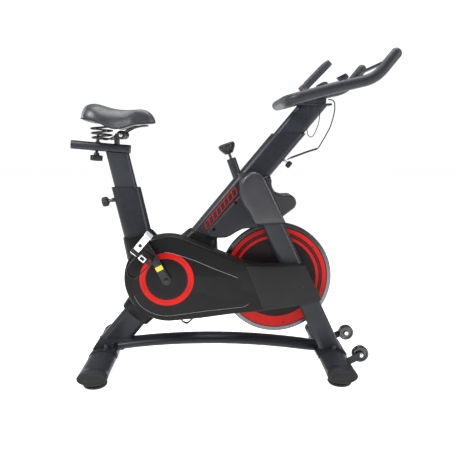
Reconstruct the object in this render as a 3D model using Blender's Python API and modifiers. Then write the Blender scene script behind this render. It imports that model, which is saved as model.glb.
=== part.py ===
"""Indoor cycling bike, built as an assembly of named sub-parts.

Metres, +Z up.  The bike faces +X and stands on z = 0, and the rider's right is -Y.
Each sub-part has its own function.  The driving dimensions come first.
"""

import math

import bmesh
import bpy
from mathutils import Matrix, Vector

GAP = 0.0003  # left between pieces that touch

# Frame tubes.  A tube's axis is x = foot + slope * z.
MAIN_FOOT = -0.5325
MAIN_SLOPE = 0.8418
MAIN_SIZE = (0.101, 0.052)
MAIN_TOP = 0.912
SEAT_FOOT = -0.2319
SEAT_SLOPE = -0.218
SEAT_SIZE = (0.1085, 0.050)
SEAT_TOP = 0.709
FORK_FOOT = 0.4429
FORK_SLOPE = -0.472
FORK_SIZE = (0.0815, 0.040)
FORK_Y = 0.0465
FORK_TOP = 0.765
WALL = 0.0025

# Ground pieces
REAR_X = -0.488
FRONT_X = 0.413
STABILIZER_Z = 0.047
STABILIZER_A = 0.054
STABILIZER_B = 0.026
STABILIZER_END = 0.2147
CAP_END = 0.260
LEVELLER_Y = 0.205
LEVELLER_R = 0.0445
BEAM_PEAK = (-0.090, 0.102)
BEAM_FALL = 0.187
BEAM_SIZE = (0.080, 0.042)
WHEEL_AXIS = (0.511, 0.075)
WHEEL_R = 0.032
WHEEL_Y = 0.115

# Drive
CRANK_AXIS = (-0.227, 0.375)
FLYWHEEL_AXIS = (0.192, 0.352)
FLYWHEEL_R = 0.220
CRANK_LENGTH = 0.170
CRANK_ANGLE = math.radians(118.0)
ARM_Y = 0.1305
CRANK_PULLEY_R = 0.110
FLY_PULLEY_R = 0.0315
BELT_Y = -0.088
COVER_FACE = -0.118
COVER_BACK = -0.0515
COVER_WALL = 0.003
COVER_R = 0.165
COVER_CENTRE = (-0.222, 0.3745)
PEDAL_Y = 0.185

# Seat
POST_SIZE = (0.0845, 0.036)
RAIL_TILT = math.radians(4.9)
RAIL_CENTRE = (-0.476, 0.862)
RAIL_SIZE = (0.220, 0.042, 0.032)
SADDLE_PIN_X = -0.4155
CLAMP_AXIS = (-0.392, 0.906)

# Resistance rod, from the foot of its housing towards the knob
BRAKE_FOOT = (0.0420, 0.7437)
BRAKE_LEAN = math.radians(19.5)
HOUSING_LENGTH = 0.078
ROD_FOOT = -0.186  # along the rod, from the foot of the housing

# Handlebar
HEAD_POST_SIZE = (0.088, 0.040)
HEAD_POST_TOP = 1.018

COLOURS = {
    "painted_frame": ((0.030, 0.031, 0.034, 1.0), 0.38, 0.55),
    "post_steel": ((0.036, 0.037, 0.041, 1.0), 0.34, 0.60),
    "cover_plastic": ((0.022, 0.022, 0.023, 1.0), 0.42, 0.0),
    "gloss_cover": ((0.020, 0.020, 0.022, 1.0), 0.16, 0.0),
    "red_trim": ((0.70, 0.030, 0.018, 1.0), 0.35, 0.0),
    "black_rubber": ((0.018, 0.018, 0.019, 1.0), 0.75, 0.0),
    "steel": ((0.62, 0.62, 0.63, 1.0), 0.22, 1.0),
    "dark_steel": ((0.060, 0.060, 0.064, 1.0), 0.35, 0.9),
    "aluminium": ((0.80, 0.80, 0.80, 1.0), 0.30, 1.0),
    "saddle_skin": ((0.045, 0.047, 0.055, 1.0), 0.45, 0.0),
    "grip_foam": ((0.050, 0.051, 0.058, 1.0), 0.60, 0.0),
    "console_plastic": ((0.090, 0.095, 0.110, 1.0), 0.40, 0.0),
    "orange_button": ((0.80, 0.20, 0.08, 1.0), 0.40, 0.0),
    "wheel_plastic": ((0.014, 0.014, 0.015, 1.0), 0.15, 0.0),
}

MIRROR_Y = Matrix.Scale(-1.0, 4, Vector((0.0, 1.0, 0.0)))
UPRIGHT = Matrix.Rotation(math.radians(90.0), 4, "X")  # outline (x, y) becomes (x, z)
ACROSS = Matrix.Rotation(math.radians(-90.0), 4, "X")  # a turned piece's +Z becomes +Y


def clear_scene():
    for old in list(bpy.data.objects):
        bpy.data.objects.remove(old, do_unlink=True)


def new_collection(name):
    collection = bpy.data.collections.new(name)
    bpy.context.scene.collection.children.link(collection)
    return collection


clear_scene()
BIKE = new_collection("exercise_bike")
CUTTERS = new_collection("cutters")


def make_material(name):
    colour, roughness, metallic = COLOURS[name]
    material = bpy.data.materials.new(name)
    material.use_nodes = True
    shader = material.node_tree.nodes["Principled BSDF"]
    shader.inputs["Base Color"].default_value = colour
    shader.inputs["Roughness"].default_value = roughness
    shader.inputs["Metallic"].default_value = metallic
    material.diffuse_color = colour
    return material


# Basic shapes.  Each returns a mesh object at the world origin.


def weld(mesh):
    shape = bmesh.new()
    shape.from_mesh(mesh)
    bmesh.ops.remove_doubles(shape, verts=shape.verts, dist=0.00002)
    bmesh.ops.recalc_face_normals(shape, faces=shape.faces)
    shape.to_mesh(mesh)
    shape.free()


def mesh_object(name, mesh):
    made = bpy.data.objects.new(name, mesh)
    BIKE.objects.link(made)
    return made


def bake(source, name):
    """Turn a curve, or an object with modifiers, into a plain welded mesh object."""
    BIKE.objects.link(source)
    bpy.context.view_layer.update()
    evaluated = source.evaluated_get(bpy.context.evaluated_depsgraph_get())
    mesh = bpy.data.meshes.new_from_object(evaluated)
    bpy.data.objects.remove(source, do_unlink=True)
    weld(mesh)
    return mesh_object(name, mesh)


def flat(name, outlines, thickness, edge=0.0):
    """A flat outline, with any further outlines as its holes, centred on its own plane.

    Its rims are rounded by the edge radius."""
    curve = bpy.data.curves.new(name, "CURVE")
    curve.dimensions = "2D"
    curve.fill_mode = "BOTH"
    curve.extrude = thickness / 2.0 - edge
    curve.bevel_depth = edge
    curve.bevel_resolution = 1
    curve.offset = -edge
    for outline in outlines:
        spline = curve.splines.new("POLY")
        spline.points.add(len(outline) - 1)
        for point, (x, y) in zip(spline.points, outline):
            point.co = (x, y, 0.0, 1.0)
        spline.use_cyclic_u = True
    return bake(bpy.data.objects.new(name + "_curve", curve), name)


def upright_flat(name, outlines, low_y, high_y, edge=0.0):
    """A flat outline in X and Z that fills the space between two values of Y."""
    made = flat(name, outlines, high_y - low_y, edge)
    made.data.transform(Matrix.Translation((0.0, (low_y + high_y) / 2.0, 0.0)) @ UPRIGHT)
    return made


def wire(name, points, radius, closed=False, resolution=2):
    curve = bpy.data.curves.new(name, "CURVE")
    curve.dimensions = "3D"
    curve.bevel_depth = radius
    curve.bevel_resolution = resolution
    curve.use_fill_caps = not closed
    spline = curve.splines.new("POLY")
    spline.points.add(len(points) - 1)
    for point, place in zip(spline.points, points):
        point.co = (place[0], place[1], place[2], 1.0)
    spline.use_cyclic_u = closed
    return bake(bpy.data.objects.new(name + "_curve", curve), name)


def turned(name, profile, steps=32, closed=False):
    """A profile of (radius, height), from top to bottom, turned about Z."""
    mesh = bpy.data.meshes.new(name + "_profile")
    edges = [(i, i + 1) for i in range(len(profile) - 1)]
    if closed:
        edges.append((len(profile) - 1, 0))
    mesh.from_pydata([(radius, 0.0, height) for radius, height in profile], edges, [])
    source = bpy.data.objects.new(name + "_profile", mesh)
    screw = source.modifiers.new("turn", "SCREW")
    screw.steps = steps
    screw.render_steps = steps
    screw.use_merge_vertices = True
    screw.merge_threshold = 0.00005
    return bake(source, name)


def turned_across(name, profile, x, z, steps=32, closed=False):
    """The same, turned about a line along Y.  Heights in the profile are values of Y."""
    made = turned(name, profile, steps, closed)
    made.data.transform(Matrix.Translation((x, 0.0, z)) @ ACROSS)
    return made


def rod(name, radius, x, z, low_y, high_y, steps=24):
    shape = bmesh.new()
    place = Matrix.Translation((x, (low_y + high_y) / 2.0, z)) @ ACROSS
    bmesh.ops.create_cone(
        shape, cap_ends=True, segments=steps, radius1=radius, radius2=radius,
        depth=high_y - low_y, matrix=place)
    mesh = bpy.data.meshes.new(name)
    shape.to_mesh(mesh)
    shape.free()
    return mesh_object(name, mesh)


def box(name, low, high):
    shape = bmesh.new()
    size = [high[i] - low[i] for i in range(3)]
    middle = [(high[i] + low[i]) / 2.0 for i in range(3)]
    bmesh.ops.create_cube(shape, size=1.0, matrix=Matrix.LocRotScale(middle, None, size))
    mesh = bpy.data.meshes.new(name)
    shape.to_mesh(mesh)
    shape.free()
    return mesh_object(name, mesh)


def loft(name, rings):
    """A closed skin over a row of rings, with each end ring filled."""
    shape = bmesh.new()
    rows = [[shape.verts.new(place) for place in ring] for ring in rings]
    count = len(rings[0])
    for first, second in zip(rows, rows[1:]):
        for i in range(count):
            j = (i + 1) % count
            shape.faces.new((first[i], first[j], second[j], second[i]))
    shape.faces.new(rows[0])
    shape.faces.new(list(reversed(rows[-1])))
    bmesh.ops.recalc_face_normals(shape, faces=shape.faces)
    mesh = bpy.data.meshes.new(name)
    shape.to_mesh(mesh)
    shape.free()
    return mesh_object(name, mesh)


# Working on shapes


def combine(target, tool, operation="DIFFERENCE"):
    modifier = target.modifiers.new(tool.name, "BOOLEAN")
    modifier.operation = operation
    modifier.solver = "EXACT"
    modifier.object = tool
    for collection in list(tool.users_collection):
        collection.objects.unlink(tool)
    CUTTERS.objects.link(tool)
    tool.hide_render = True
    tool.display_type = "WIRE"
    return target


def soften(target, width, segments=2, angle=40.0):
    bevel = target.modifiers.new("rounded edges", "BEVEL")
    bevel.width = width
    bevel.segments = segments
    bevel.limit_method = "ANGLE"
    bevel.angle_limit = math.radians(angle)
    return target


def move(target, offset):
    target.data.transform(Matrix.Translation(offset))
    return target


def dress(target, material):
    target.data.materials.clear()
    target.data.materials.append(make_material(material) if material not in bpy.data.materials
                                 else bpy.data.materials[material])
    return target


def pivot(target, place):
    """Put a moving piece's origin on its joint's axis without moving the piece."""
    target.data.transform(Matrix.Translation((-place[0], -place[1], -place[2])))
    target.location = place
    return target


def side_name(stem, side):
    return stem + ("_right" if side < 0 else "_left")


# Outlines


def arc(centre, radius, start, end, count):
    """Points on an arc, in degrees, both ends included."""
    steps = [math.radians(start + (end - start) * i / (count - 1)) for i in range(count)]
    return [(centre[0] + radius * math.cos(a), centre[1] + radius * math.sin(a)) for a in steps]


def circle(centre, radius, count=32):
    return arc(centre, radius, 0.0, 360.0 * (count - 1) / count, count)


def ellipse(centre, half_width, half_height, count=28, start=0.0, end=None):
    last = 360.0 * (count - 1) / count if end is None else end
    unit = arc((0.0, 0.0), 1.0, start, last, count)
    return [(centre[0] + half_width * x, centre[1] + half_height * y) for x, y in unit]


def stadium(width, thickness, count=8):
    """A flat-sided oval with round ends, its long side along the first axis."""
    reach = (width - thickness) / 2.0
    right = arc((reach, 0.0), thickness / 2.0, -90.0, 90.0, count)
    left = arc((-reach, 0.0), thickness / 2.0, 90.0, 270.0, count)
    return right + left


def rounded(width, height, radius, count=4):
    corners = []
    for sx, sy, start in ((1, 1, 0), (-1, 1, 90), (-1, -1, 180), (1, -1, 270)):
        centre = (sx * (width / 2.0 - radius), sy * (height / 2.0 - radius))
        corners += arc(centre, radius, start, start + 90, count)
    return corners


def miters(points, closed):
    """For each point of a run, the way across it, stretched so that offset lines stay parallel."""
    points = [Vector(point) for point in points]
    count = len(points)
    across = []
    for i, place in enumerate(points):
        before = (place - points[i - 1]).normalized() if i or closed else (points[1] - place).normalized()
        after = (points[(i + 1) % count] - place).normalized() if i < count - 1 or closed else before
        line = (before + after).normalized()
        across.append(Vector((-line.y, line.x)) / line.dot(before))
    return points, across


def ribbon(points, thickness):
    """An outline that follows an open run of points, half the thickness on each side."""
    points, across = miters(points, False)
    left = [tuple(place + way * thickness / 2.0) for place, way in zip(points, across)]
    right = [tuple(place - way * thickness / 2.0) for place, way in zip(points, across)]
    return left + list(reversed(right))


def inset_outline(points, thickness):
    """A counter-clockwise outline moved inwards."""
    points, across = miters(points, True)
    return [tuple(place + way * thickness) for place, way in zip(points, across)]


def leaning(name, foot, slope, low, high, size, wall=0.0, y=0.0):
    """An oval tube along x = foot + slope * z, with both ends cut level."""
    stretch = math.sqrt(1.0 + slope * slope)
    outlines = [stadium(*size)]
    if wall:
        outlines.append(stadium(size[0] - 2.0 * wall, size[1] - 2.0 * wall))
    outlines = [[(x * stretch, v) for x, v in outline] for outline in outlines]
    made = flat(name, outlines, high - low)
    move(made, (0.0, y, (low + high) / 2.0))
    for vertex in made.data.vertices:
        vertex.co.x += foot + slope * vertex.co.z
    return made


def grown(size, gap=GAP):
    return (size[0] + 2.0 * gap, size[1] + 2.0 * gap)


def main_x(z):
    return MAIN_FOOT + MAIN_SLOPE * z


def fork_x(z):
    return FORK_FOOT + FORK_SLOPE * z


def hollow_neck(target, foot, slope, low, neck, top, size, bore, y=0.0):
    """Hollow a leaning tube: wide below the neck, a sliding fit above it."""
    inner = (size[0] - 2.0 * WALL, size[1] - 2.0 * WALL)
    name = target.name
    combine(target, leaning(name + "_hollow", foot, slope, low, neck, inner, 0.0, y))
    combine(target, leaning(name + "_neck", foot, slope, neck - 0.002, top, bore, 0.0, y))


# Frame


def brake_rod_tool(name, radius, low, high):
    """A cylinder along the resistance rod, between two heights above its housing's foot."""
    made = turned(name, [(0.0, high), (radius, high), (radius, low), (0.0, low)], 16)
    made.data.transform(brake_place() @ Matrix.Rotation(math.radians(5.0), 4, "Z"))
    return made


def brake_place():
    tilt = Matrix.Rotation(-BRAKE_LEAN, 4, "Y")
    return Matrix.Translation((BRAKE_FOOT[0], 0.0, BRAKE_FOOT[1])) @ tilt


def main_tube():
    tube = leaning("main_tube", MAIN_FOOT, MAIN_SLOPE, 0.107, MAIN_TOP, MAIN_SIZE)
    bore = (HEAD_POST_SIZE[0] + 0.0010, HEAD_POST_SIZE[1] + 0.0010)
    hollow_neck(tube, MAIN_FOOT, MAIN_SLOPE, 0.09, 0.862, 0.93, MAIN_SIZE, bore)
    combine(tube, rod("shell_hole", 0.0238, *CRANK_AXIS, -0.04, 0.04))
    combine(tube, brake_rod_tool("brake_rod_hole", 0.0075, -0.20, 0.06))
    return dress(tube, "painted_frame")


def seat_tube():
    tube = leaning("seat_tube", SEAT_FOOT, SEAT_SLOPE, 0.291, SEAT_TOP, SEAT_SIZE)
    bore = (POST_SIZE[0] + 0.0010, POST_SIZE[1] + 0.0010)
    hollow_neck(tube, SEAT_FOOT, SEAT_SLOPE, 0.28, 0.665, 0.73, SEAT_SIZE, bore)
    cope = leaning("seat_tube_cope", MAIN_FOOT, MAIN_SLOPE, 0.20, 0.50, grown(MAIN_SIZE))
    combine(tube, cope)
    return dress(tube, "painted_frame")


def stabilizer_tool(name, x, gap=GAP):
    outline = ellipse((x, STABILIZER_Z), STABILIZER_A + gap, STABILIZER_B + gap)
    return upright_flat(name, [outline], -0.20, 0.20)


def beam_loft(name, start, end, inset, count, sides):
    """The arched beam's shape, or with an inset the room inside it."""
    rings = []
    for i in range(count + 1):
        x = start + (end - start) * i / count
        z = BEAM_PEAK[1] - BEAM_FALL * (x - BEAM_PEAK[0]) ** 2
        half = BEAM_SIZE[0] / 2.0 if i < count else 0.018  # narrow between the fork's legs
        ring = ellipse((0.0, z), half - inset, BEAM_SIZE[1] / 2.0 - inset, sides)
        rings.append([(x, y, height) for y, height in ring])
    return loft(name, rings)


def base_beam():
    beam = beam_loft("base_beam", REAR_X + 0.056, FRONT_X - 0.038, 0.0, 12, 24)
    rear_top = 0.107 - GAP
    reach = MAIN_SIZE[0] / 2.0 * math.sqrt(1.0 + MAIN_SLOPE ** 2)
    rear = [
        (REAR_X - 0.049, 0.064),
        (main_x(rear_top) - reach, rear_top),
        (main_x(rear_top) + reach, rear_top),
        (REAR_X + 0.075, 0.062),
    ]
    combine(beam, upright_flat("rear_bracket", [rear], -0.0262, 0.0262), "UNION")
    saddle = ellipse((FRONT_X, STABILIZER_Z), 0.0603, 0.0323, 24, 5.0, 175.0)
    combine(beam, upright_flat("front_bracket", [saddle], -0.068, 0.068), "UNION")
    combine(beam, leaning("beam_main_seat", MAIN_FOOT, MAIN_SLOPE, 0.107 - GAP, 0.20, grown(MAIN_SIZE)))
    combine(beam, beam_loft("beam_room", REAR_X + 0.030, FRONT_X - 0.034, 0.0030, 12, 16))
    combine(beam, stabilizer_tool("beam_rear_seat", REAR_X))
    combine(beam, stabilizer_tool("beam_front_seat", FRONT_X))
    return dress(beam, "painted_frame")


def stabilizer(name, x):
    inner = ellipse((x, STABILIZER_Z), STABILIZER_A - WALL, STABILIZER_B - WALL)
    outer = ellipse((x, STABILIZER_Z), STABILIZER_A, STABILIZER_B)
    tube = upright_flat(name, [outer, inner], -STABILIZER_END, STABILIZER_END)
    for side in (-1, 1):
        hole = turned(name + "_stud_hole", [(0.0, 0.03), (0.0048, 0.03), (0.0048, 0.0), (0.0, 0.0)], 16)
        combine(tube, move(hole, (x, side * LEVELLER_Y, 0.0)))
    return tube


def rear_stabilizer():
    return dress(stabilizer("rear_stabilizer", REAR_X), "painted_frame")


def front_stabilizer():
    tube = stabilizer("front_stabilizer", FRONT_X)
    root = Vector((FRONT_X + STABILIZER_A - 0.005, STABILIZER_Z + 0.004))
    tip = Vector(WHEEL_AXIS)
    turn = math.degrees(math.atan2(tip.y - root.y, tip.x - root.x))
    for side in (-1, 1):
        outline = arc(tip, 0.014, turn - 90, turn + 90, 7) + arc(root, 0.014, turn + 90, turn + 270, 7)
        low, high = sorted((side * 0.1290, side * 0.1330))
        combine(tube, upright_flat(side_name("wheel_arm", side), [outline], low, high), "UNION")
        low, high = sorted((side * 0.0990, side * 0.1300))
        combine(tube, rod(side_name("wheel_pin", side), 0.0050, *WHEEL_AXIS, low, high), "UNION")
    inner = ellipse((FRONT_X, STABILIZER_Z), STABILIZER_A - WALL, STABILIZER_B - WALL)
    combine(tube, upright_flat("front_stabilizer_bore", [inner], -0.22, 0.22))
    return dress(tube, "painted_frame")


def end_cap(stem, x, side):
    face = STABILIZER_END + GAP
    rings = []
    for y, grow in ((face, 0.0010), (face + 0.036, 0.0010), (CAP_END - 0.003, -0.0012), (CAP_END, -0.007)):
        outline = ellipse((x, STABILIZER_Z), STABILIZER_A + grow, STABILIZER_B + grow, 24)
        rings.append([(px, side * y, pz) for px, pz in outline])
    return dress(loft(side_name(stem, side), rings), "black_rubber")


def levelling_foot(stem, x, side):
    top = 0.0182
    profile = [
        (0.0, 0.034), (0.0042, 0.034), (0.0042, top), (LEVELLER_R - 0.009, top),
        (LEVELLER_R - 0.002, top - 0.004), (LEVELLER_R, 0.010), (LEVELLER_R - 0.003, 0.0025),
        (LEVELLER_R - 0.008, 0.0), (0.0, 0.0)]
    foot = turned(side_name(stem, side), profile, 20)
    foot.location = (x, side * LEVELLER_Y, 0.0)
    return dress(foot, "black_rubber")


def transport_wheel(side):
    half = 0.0115
    bore = 0.0053
    profile = [
        (bore, half), (0.010, half), (0.012, half - 0.003), (0.022, half - 0.003), (0.024, half),
        (WHEEL_R - 0.003, half), (WHEEL_R, half - 0.004), (WHEEL_R, 0.004 - half),
        (WHEEL_R - 0.003, -half), (bore, -half)]
    wheel = turned_across(side_name("transport_wheel", side), profile, 0.0, 0.0, 24, True)
    wheel.location = (WHEEL_AXIS[0], side * WHEEL_Y, WHEEL_AXIS[1])
    return dress(wheel, "wheel_plastic")


def fork_leg(side):
    y = side * FORK_Y
    leg = leaning(side_name("fork_leg", side), FORK_FOOT, FORK_SLOPE, 0.05, FORK_TOP, FORK_SIZE, WALL, y)
    half = FORK_SIZE[0] / 2.0 * math.sqrt(1.0 + FORK_SLOPE ** 2)
    top_z = FLYWHEEL_AXIS[1] + 0.060
    low_z = FLYWHEEL_AXIS[1] - 0.045
    plate = arc(FLYWHEEL_AXIS, 0.024, 100.0, 250.0, 12)
    plate += [(fork_x(low_z) - half + 0.0018, low_z), (fork_x(top_z) - half + 0.0018, top_z)]
    plate_object = upright_flat(
        side_name("dropout", side), [plate, circle(FLYWHEEL_AXIS, 0.0104, 20)], y - 0.005, y + 0.005)
    combine(leg, plate_object, "UNION")
    seat = ellipse((FRONT_X, STABILIZER_Z), 0.0603 + GAP, 0.0323 + GAP)
    combine(leg, upright_flat(side_name("fork_seat", side), [seat], y - 0.03, y + 0.03))
    return dress(leg, "painted_frame")


def bottom_bracket():
    profile = [(0.0235, 0.034), (0.0235, -0.046), (0.0088, -0.046), (0.0088, 0.034)]
    shell = turned_across("bottom_bracket", profile, *CRANK_AXIS, 32, True)
    return dress(shell, "dark_steel")


# Covers


def flywheel_room(name, half_width=0.0215):
    return rod(name, FLYWHEEL_R + 0.006, *FLYWHEEL_AXIS, -half_width, half_width, 56)


def crown_cover(side):
    """The moulded pod that wraps one leg of the fork where it meets the main tube."""
    half = FORK_SIZE[0] / 2.0 * math.sqrt(1.0 + FORK_SLOPE ** 2)
    low_z = 0.572
    outline = [
        (fork_x(low_z) - half - 0.004, low_z - 0.004),
        (fork_x(low_z) + half + 0.004, low_z + 0.006),
        (fork_x(0.68) + half + 0.007, 0.680),
        (fork_x(0.74) + half + 0.005, 0.740),
        (0.123, 0.762), (0.106, 0.7705), (0.084, 0.768), (0.064, 0.757), (0.048, 0.738),
        (0.046, 0.712), (0.055, 0.678), (fork_x(0.62) - half - 0.008, 0.620)]
    low, high = sorted((side * 0.0268, side * 0.0800))
    pod = upright_flat(side_name("crown_cover", side), [outline], low, high, 0.009)
    leg = leaning(side_name("crown_room", side), FORK_FOOT, FORK_SLOPE, 0.50, FORK_TOP + 0.001,
                  grown(FORK_SIZE, 0.0004), 0.0, side * FORK_Y)
    combine(pod, leg)
    return dress(pod, "cover_plastic")


def brake_cover():
    """The fender-like cover under the main tube that hides the brake."""
    half = FORK_SIZE[0] / 2.0 * math.sqrt(1.0 + FORK_SLOPE ** 2)
    outline = [
        (-0.078, 0.540), (-0.072, 0.524), (-0.060, 0.518), (-0.004, 0.518), (0.012, 0.525),
        (0.062, 0.553), (0.118, 0.5665), (fork_x(0.60) - half - 0.014, 0.610),
        (fork_x(0.66) - half - 0.014, 0.650), (0.0475, 0.6820)]
    web = [(0.030, 0.600), (0.100, 0.5690), (0.1285, 0.5700), (fork_x(0.60) - half + 0.008, 0.600),
           (fork_x(0.66) - half + 0.008, 0.660), (0.090, 0.672), (0.030, 0.670)]
    cover = upright_flat("brake_cover", [outline], -0.049, 0.049, 0.008)
    combine(cover, upright_flat("brake_cover_web", [web], -0.0262, 0.0262), "UNION")
    combine(cover, leaning("brake_cover_notch", MAIN_FOOT, MAIN_SLOPE, 0.40, 0.80, grown(MAIN_SIZE)))
    combine(cover, flywheel_room("brake_cover_wheel_room"))
    room = [(-0.010, -0.085), (0.010, -0.085), (0.010, -0.172), (0.032, -0.174), (0.034, -0.215),
            (-0.030, -0.215), (-0.026, -0.174), (-0.010, -0.172)]
    combine(cover, upright_flat("brake_cover_room", [room], -0.021, 0.021))
    bpy.data.objects["brake_cover_room"].data.transform(brake_place())
    return dress(cover, "cover_plastic")


def front_cover():
    """The glossy nose between the fork legs, with its scooped top."""
    half = FORK_SIZE[0] / 2.0 * math.sqrt(1.0 + FORK_SLOPE ** 2) + 0.0005
    scoop = arc((0.2135, 0.7245), 0.0455, 181.0, 268.0, 9)
    nose = arc((0.2350, 0.6520), 0.0275, 88.0, -40.0, 9)
    outline = [(fork_x(0.742) + half + 0.0100, 0.742), (0.1600, 0.7500)] + scoop + nose
    outline += [(0.2120, 0.5990), (fork_x(0.602) + half + 0.0100, 0.6020)]
    cover = upright_flat("front_cover", [outline], -0.046, 0.046, 0.007)
    combine(cover, leaning("front_cover_notch", MAIN_FOOT, MAIN_SLOPE, 0.60, 0.80, grown(MAIN_SIZE)))
    return dress(cover, "gloss_cover")


def cover_outline(inset=0.0):
    """The belt cover's outline: a round rear end that narrows to the fork leg."""
    rear = arc(COVER_CENTRE, COVER_R - inset, 67.0, 276.0, 22)
    lower = [(-0.100, 0.2200 + inset), (0.010, 0.2350 + inset), (0.120, 0.2445 + inset),
             (0.236, 0.2600 + inset), (0.344 - inset, 0.2790 + inset)]
    front = [(0.359 - inset, 0.2900 + inset), (0.293 - inset * 0.6, 0.4205 - inset)]
    upper = [(0.130, 0.4210 - inset), (0.092, 0.4260 - inset), (0.050, 0.4405 - inset)]
    return rear + lower + front + upper


def belt_cover():
    cover = upright_flat("belt_cover", [cover_outline()], COVER_FACE, COVER_BACK + 0.008, 0.006)
    combine(cover, box("belt_cover_open_side", (-0.45, COVER_BACK, 0.15), (0.45, 0.0, 0.60)))
    inner = cover_outline(COVER_WALL)
    combine(cover, upright_flat("belt_cover_room", [inner], COVER_FACE + COVER_WALL, COVER_BACK + 0.01))
    combine(cover, rod("belt_cover_axle_hole", 0.0125, *CRANK_AXIS, COVER_FACE - 0.01, COVER_FACE + 0.02))
    leg = leaning("belt_cover_leg_room", FORK_FOOT, FORK_SLOPE, 0.10, 0.60,
                  grown(FORK_SIZE, 0.0008), 0.0, -FORK_Y)
    combine(cover, leg)
    return dress(cover, "cover_plastic")


def belt_cover_back():
    """The inner half of the belt cover, up to the fork's dropout."""
    inset = COVER_WALL + 0.0004
    rear = arc(COVER_CENTRE, COVER_R - inset, 67.0, 276.0, 22)
    edge = [(-0.100, 0.2200 + inset), (0.010, 0.2350 + inset), (0.120, 0.2445 + inset),
            (0.150, 0.2490 + inset), (0.150, 0.4190 - inset), (0.130, 0.4210 - inset),
            (0.092, 0.4260 - inset), (0.050, 0.4405 - inset)]
    hole = circle(CRANK_AXIS, 0.0130, 24)
    plate = upright_flat("belt_cover_back", [rear + edge, hole], COVER_BACK - 0.0025, COVER_BACK)
    return dress(plate, "cover_plastic")


def cover_ring():
    ring = [circle(CRANK_AXIS, 0.1010, 48), circle(CRANK_AXIS, 0.0790, 48)]
    return dress(upright_flat("cover_ring", ring, COVER_FACE - GAP - 0.0012, COVER_FACE - GAP), "red_trim")


def boot(name, foot, slope, tube_size, rows):
    """A flared plastic collar round a tube where it enters the belt cover.

    Each row is one ring: its height on the tube's axis, how far its cut turns from square
    towards level, its rear and front reach from the axis, and its half thickness."""
    stretch = math.sqrt(1.0 + slope * slope)
    rings = []
    for height, turn, rear, front, half in rows:
        ring = []
        for x, y in stadium(front - rear, 2.0 * half, 7):
            reach = x + (front + rear) / 2.0
            on_axis = height + turn * reach * slope / stretch
            ring.append((foot + slope * on_axis + reach / stretch, y, on_axis - reach * slope / stretch))
        rings.append(ring)
    collar = loft(name, rings)
    heights = [place[2] for ring in rings for place in ring]
    combine(collar, leaning(
        name + "_bore", foot, slope, min(heights) - 0.02, max(heights) + 0.02, grown(tube_size)))
    return dress(collar, "cover_plastic")


MAIN_BOOT_ROWS = (
    (0.4550, 0.40, -0.0740, 0.0830, 0.0360),
    (0.4980, 0.40, -0.0655, 0.0790, 0.0350),
    (0.5235, 0.38, -0.0585, 0.0565, 0.0320),
    (0.5275, 0.38, -0.0560, 0.0540, 0.0300),
)
SEAT_BOOT_ROWS = (
    (0.4400, 0.00, -0.0640, 0.0800, 0.0350),
    (0.5080, 0.00, -0.0610, 0.0735, 0.0340),
    (0.5270, -0.27, -0.0590, 0.0600, 0.0310),
    (0.5300, -0.27, -0.0575, 0.0575, 0.0295),
)
LEG_BOOT_ROWS = (
    (0.1990, 0.00, -0.0620, 0.0590, 0.0310),
    (0.2020, 0.00, -0.0640, 0.0610, 0.0330),
    (0.2330, 0.00, -0.0685, 0.0660, 0.0350),
    (0.2430, 0.00, -0.0690, 0.0670, 0.0355),
)


def crank_cover_left():
    """A round plain cover on the side away from the belt."""
    profile = [(0.094, 0.0350), (0.094, 0.0950), (0.086, 0.1080), (0.0125, 0.1130),
               (0.0125, 0.1100), (0.083, 0.1050), (0.091, 0.0930), (0.091, 0.0350)]
    made = turned_across("crank_cover_left", list(reversed(profile)), *CRANK_AXIS, 32, True)
    return dress(made, "cover_plastic")


# Drive


def flywheel():
    half = 0.010
    profile = [
        (0.0104, 0.0160), (0.030, 0.0160), (0.032, 0.0050), (0.168, 0.0050), (0.172, half),
        (FLYWHEEL_R - 0.002, half), (FLYWHEEL_R, half - 0.002), (FLYWHEEL_R, 0.002 - half),
        (FLYWHEEL_R - 0.002, -half), (0.172, -half), (0.168, -0.0050), (0.032, -0.0050),
        (0.030, -0.0160), (0.0104, -0.0160)]
    wheel = turned_across("flywheel", profile, 0.0, 0.0, 48, True)
    wheel.location = (FLYWHEEL_AXIS[0], 0.0, FLYWHEEL_AXIS[1])
    return dress(wheel, "steel")


def flywheel_face(side):
    """The printed disc on one side of the flywheel."""
    near = side * (0.010 + GAP)
    outer = side * 0.0125
    hub = 0.036
    profile = [(hub, outer), (0.200, outer), (0.200, near), (hub, near)]
    disc = turned_across(side_name("flywheel_face", side), profile, 0.0, 0.0, 48, True)
    disc.location = (FLYWHEEL_AXIS[0], 0.0, FLYWHEEL_AXIS[1])
    return dress(disc, "red_trim")


def flywheel_shaft():
    """The shaft through the flywheel, with the small belt pulley on its right end."""
    inner = BELT_Y + 0.011
    outer = BELT_Y - 0.011
    profile = [
        (0.0, 0.062), (0.010, 0.062), (0.010, inner), (FLY_PULLEY_R + 0.003, inner),
        (FLY_PULLEY_R + 0.003, BELT_Y + 0.009), (FLY_PULLEY_R, BELT_Y + 0.009),
        (FLY_PULLEY_R, BELT_Y - 0.009), (FLY_PULLEY_R + 0.003, BELT_Y - 0.009),
        (FLY_PULLEY_R + 0.003, outer), (0.008, outer), (0.008, outer - 0.006), (0.0, outer - 0.006)]
    shaft = turned_across("flywheel_shaft", profile, 0.0, 0.0, 24)
    shaft.location = (FLYWHEEL_AXIS[0], 0.0, FLYWHEEL_AXIS[1])
    return dress(shaft, "dark_steel")


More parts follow.
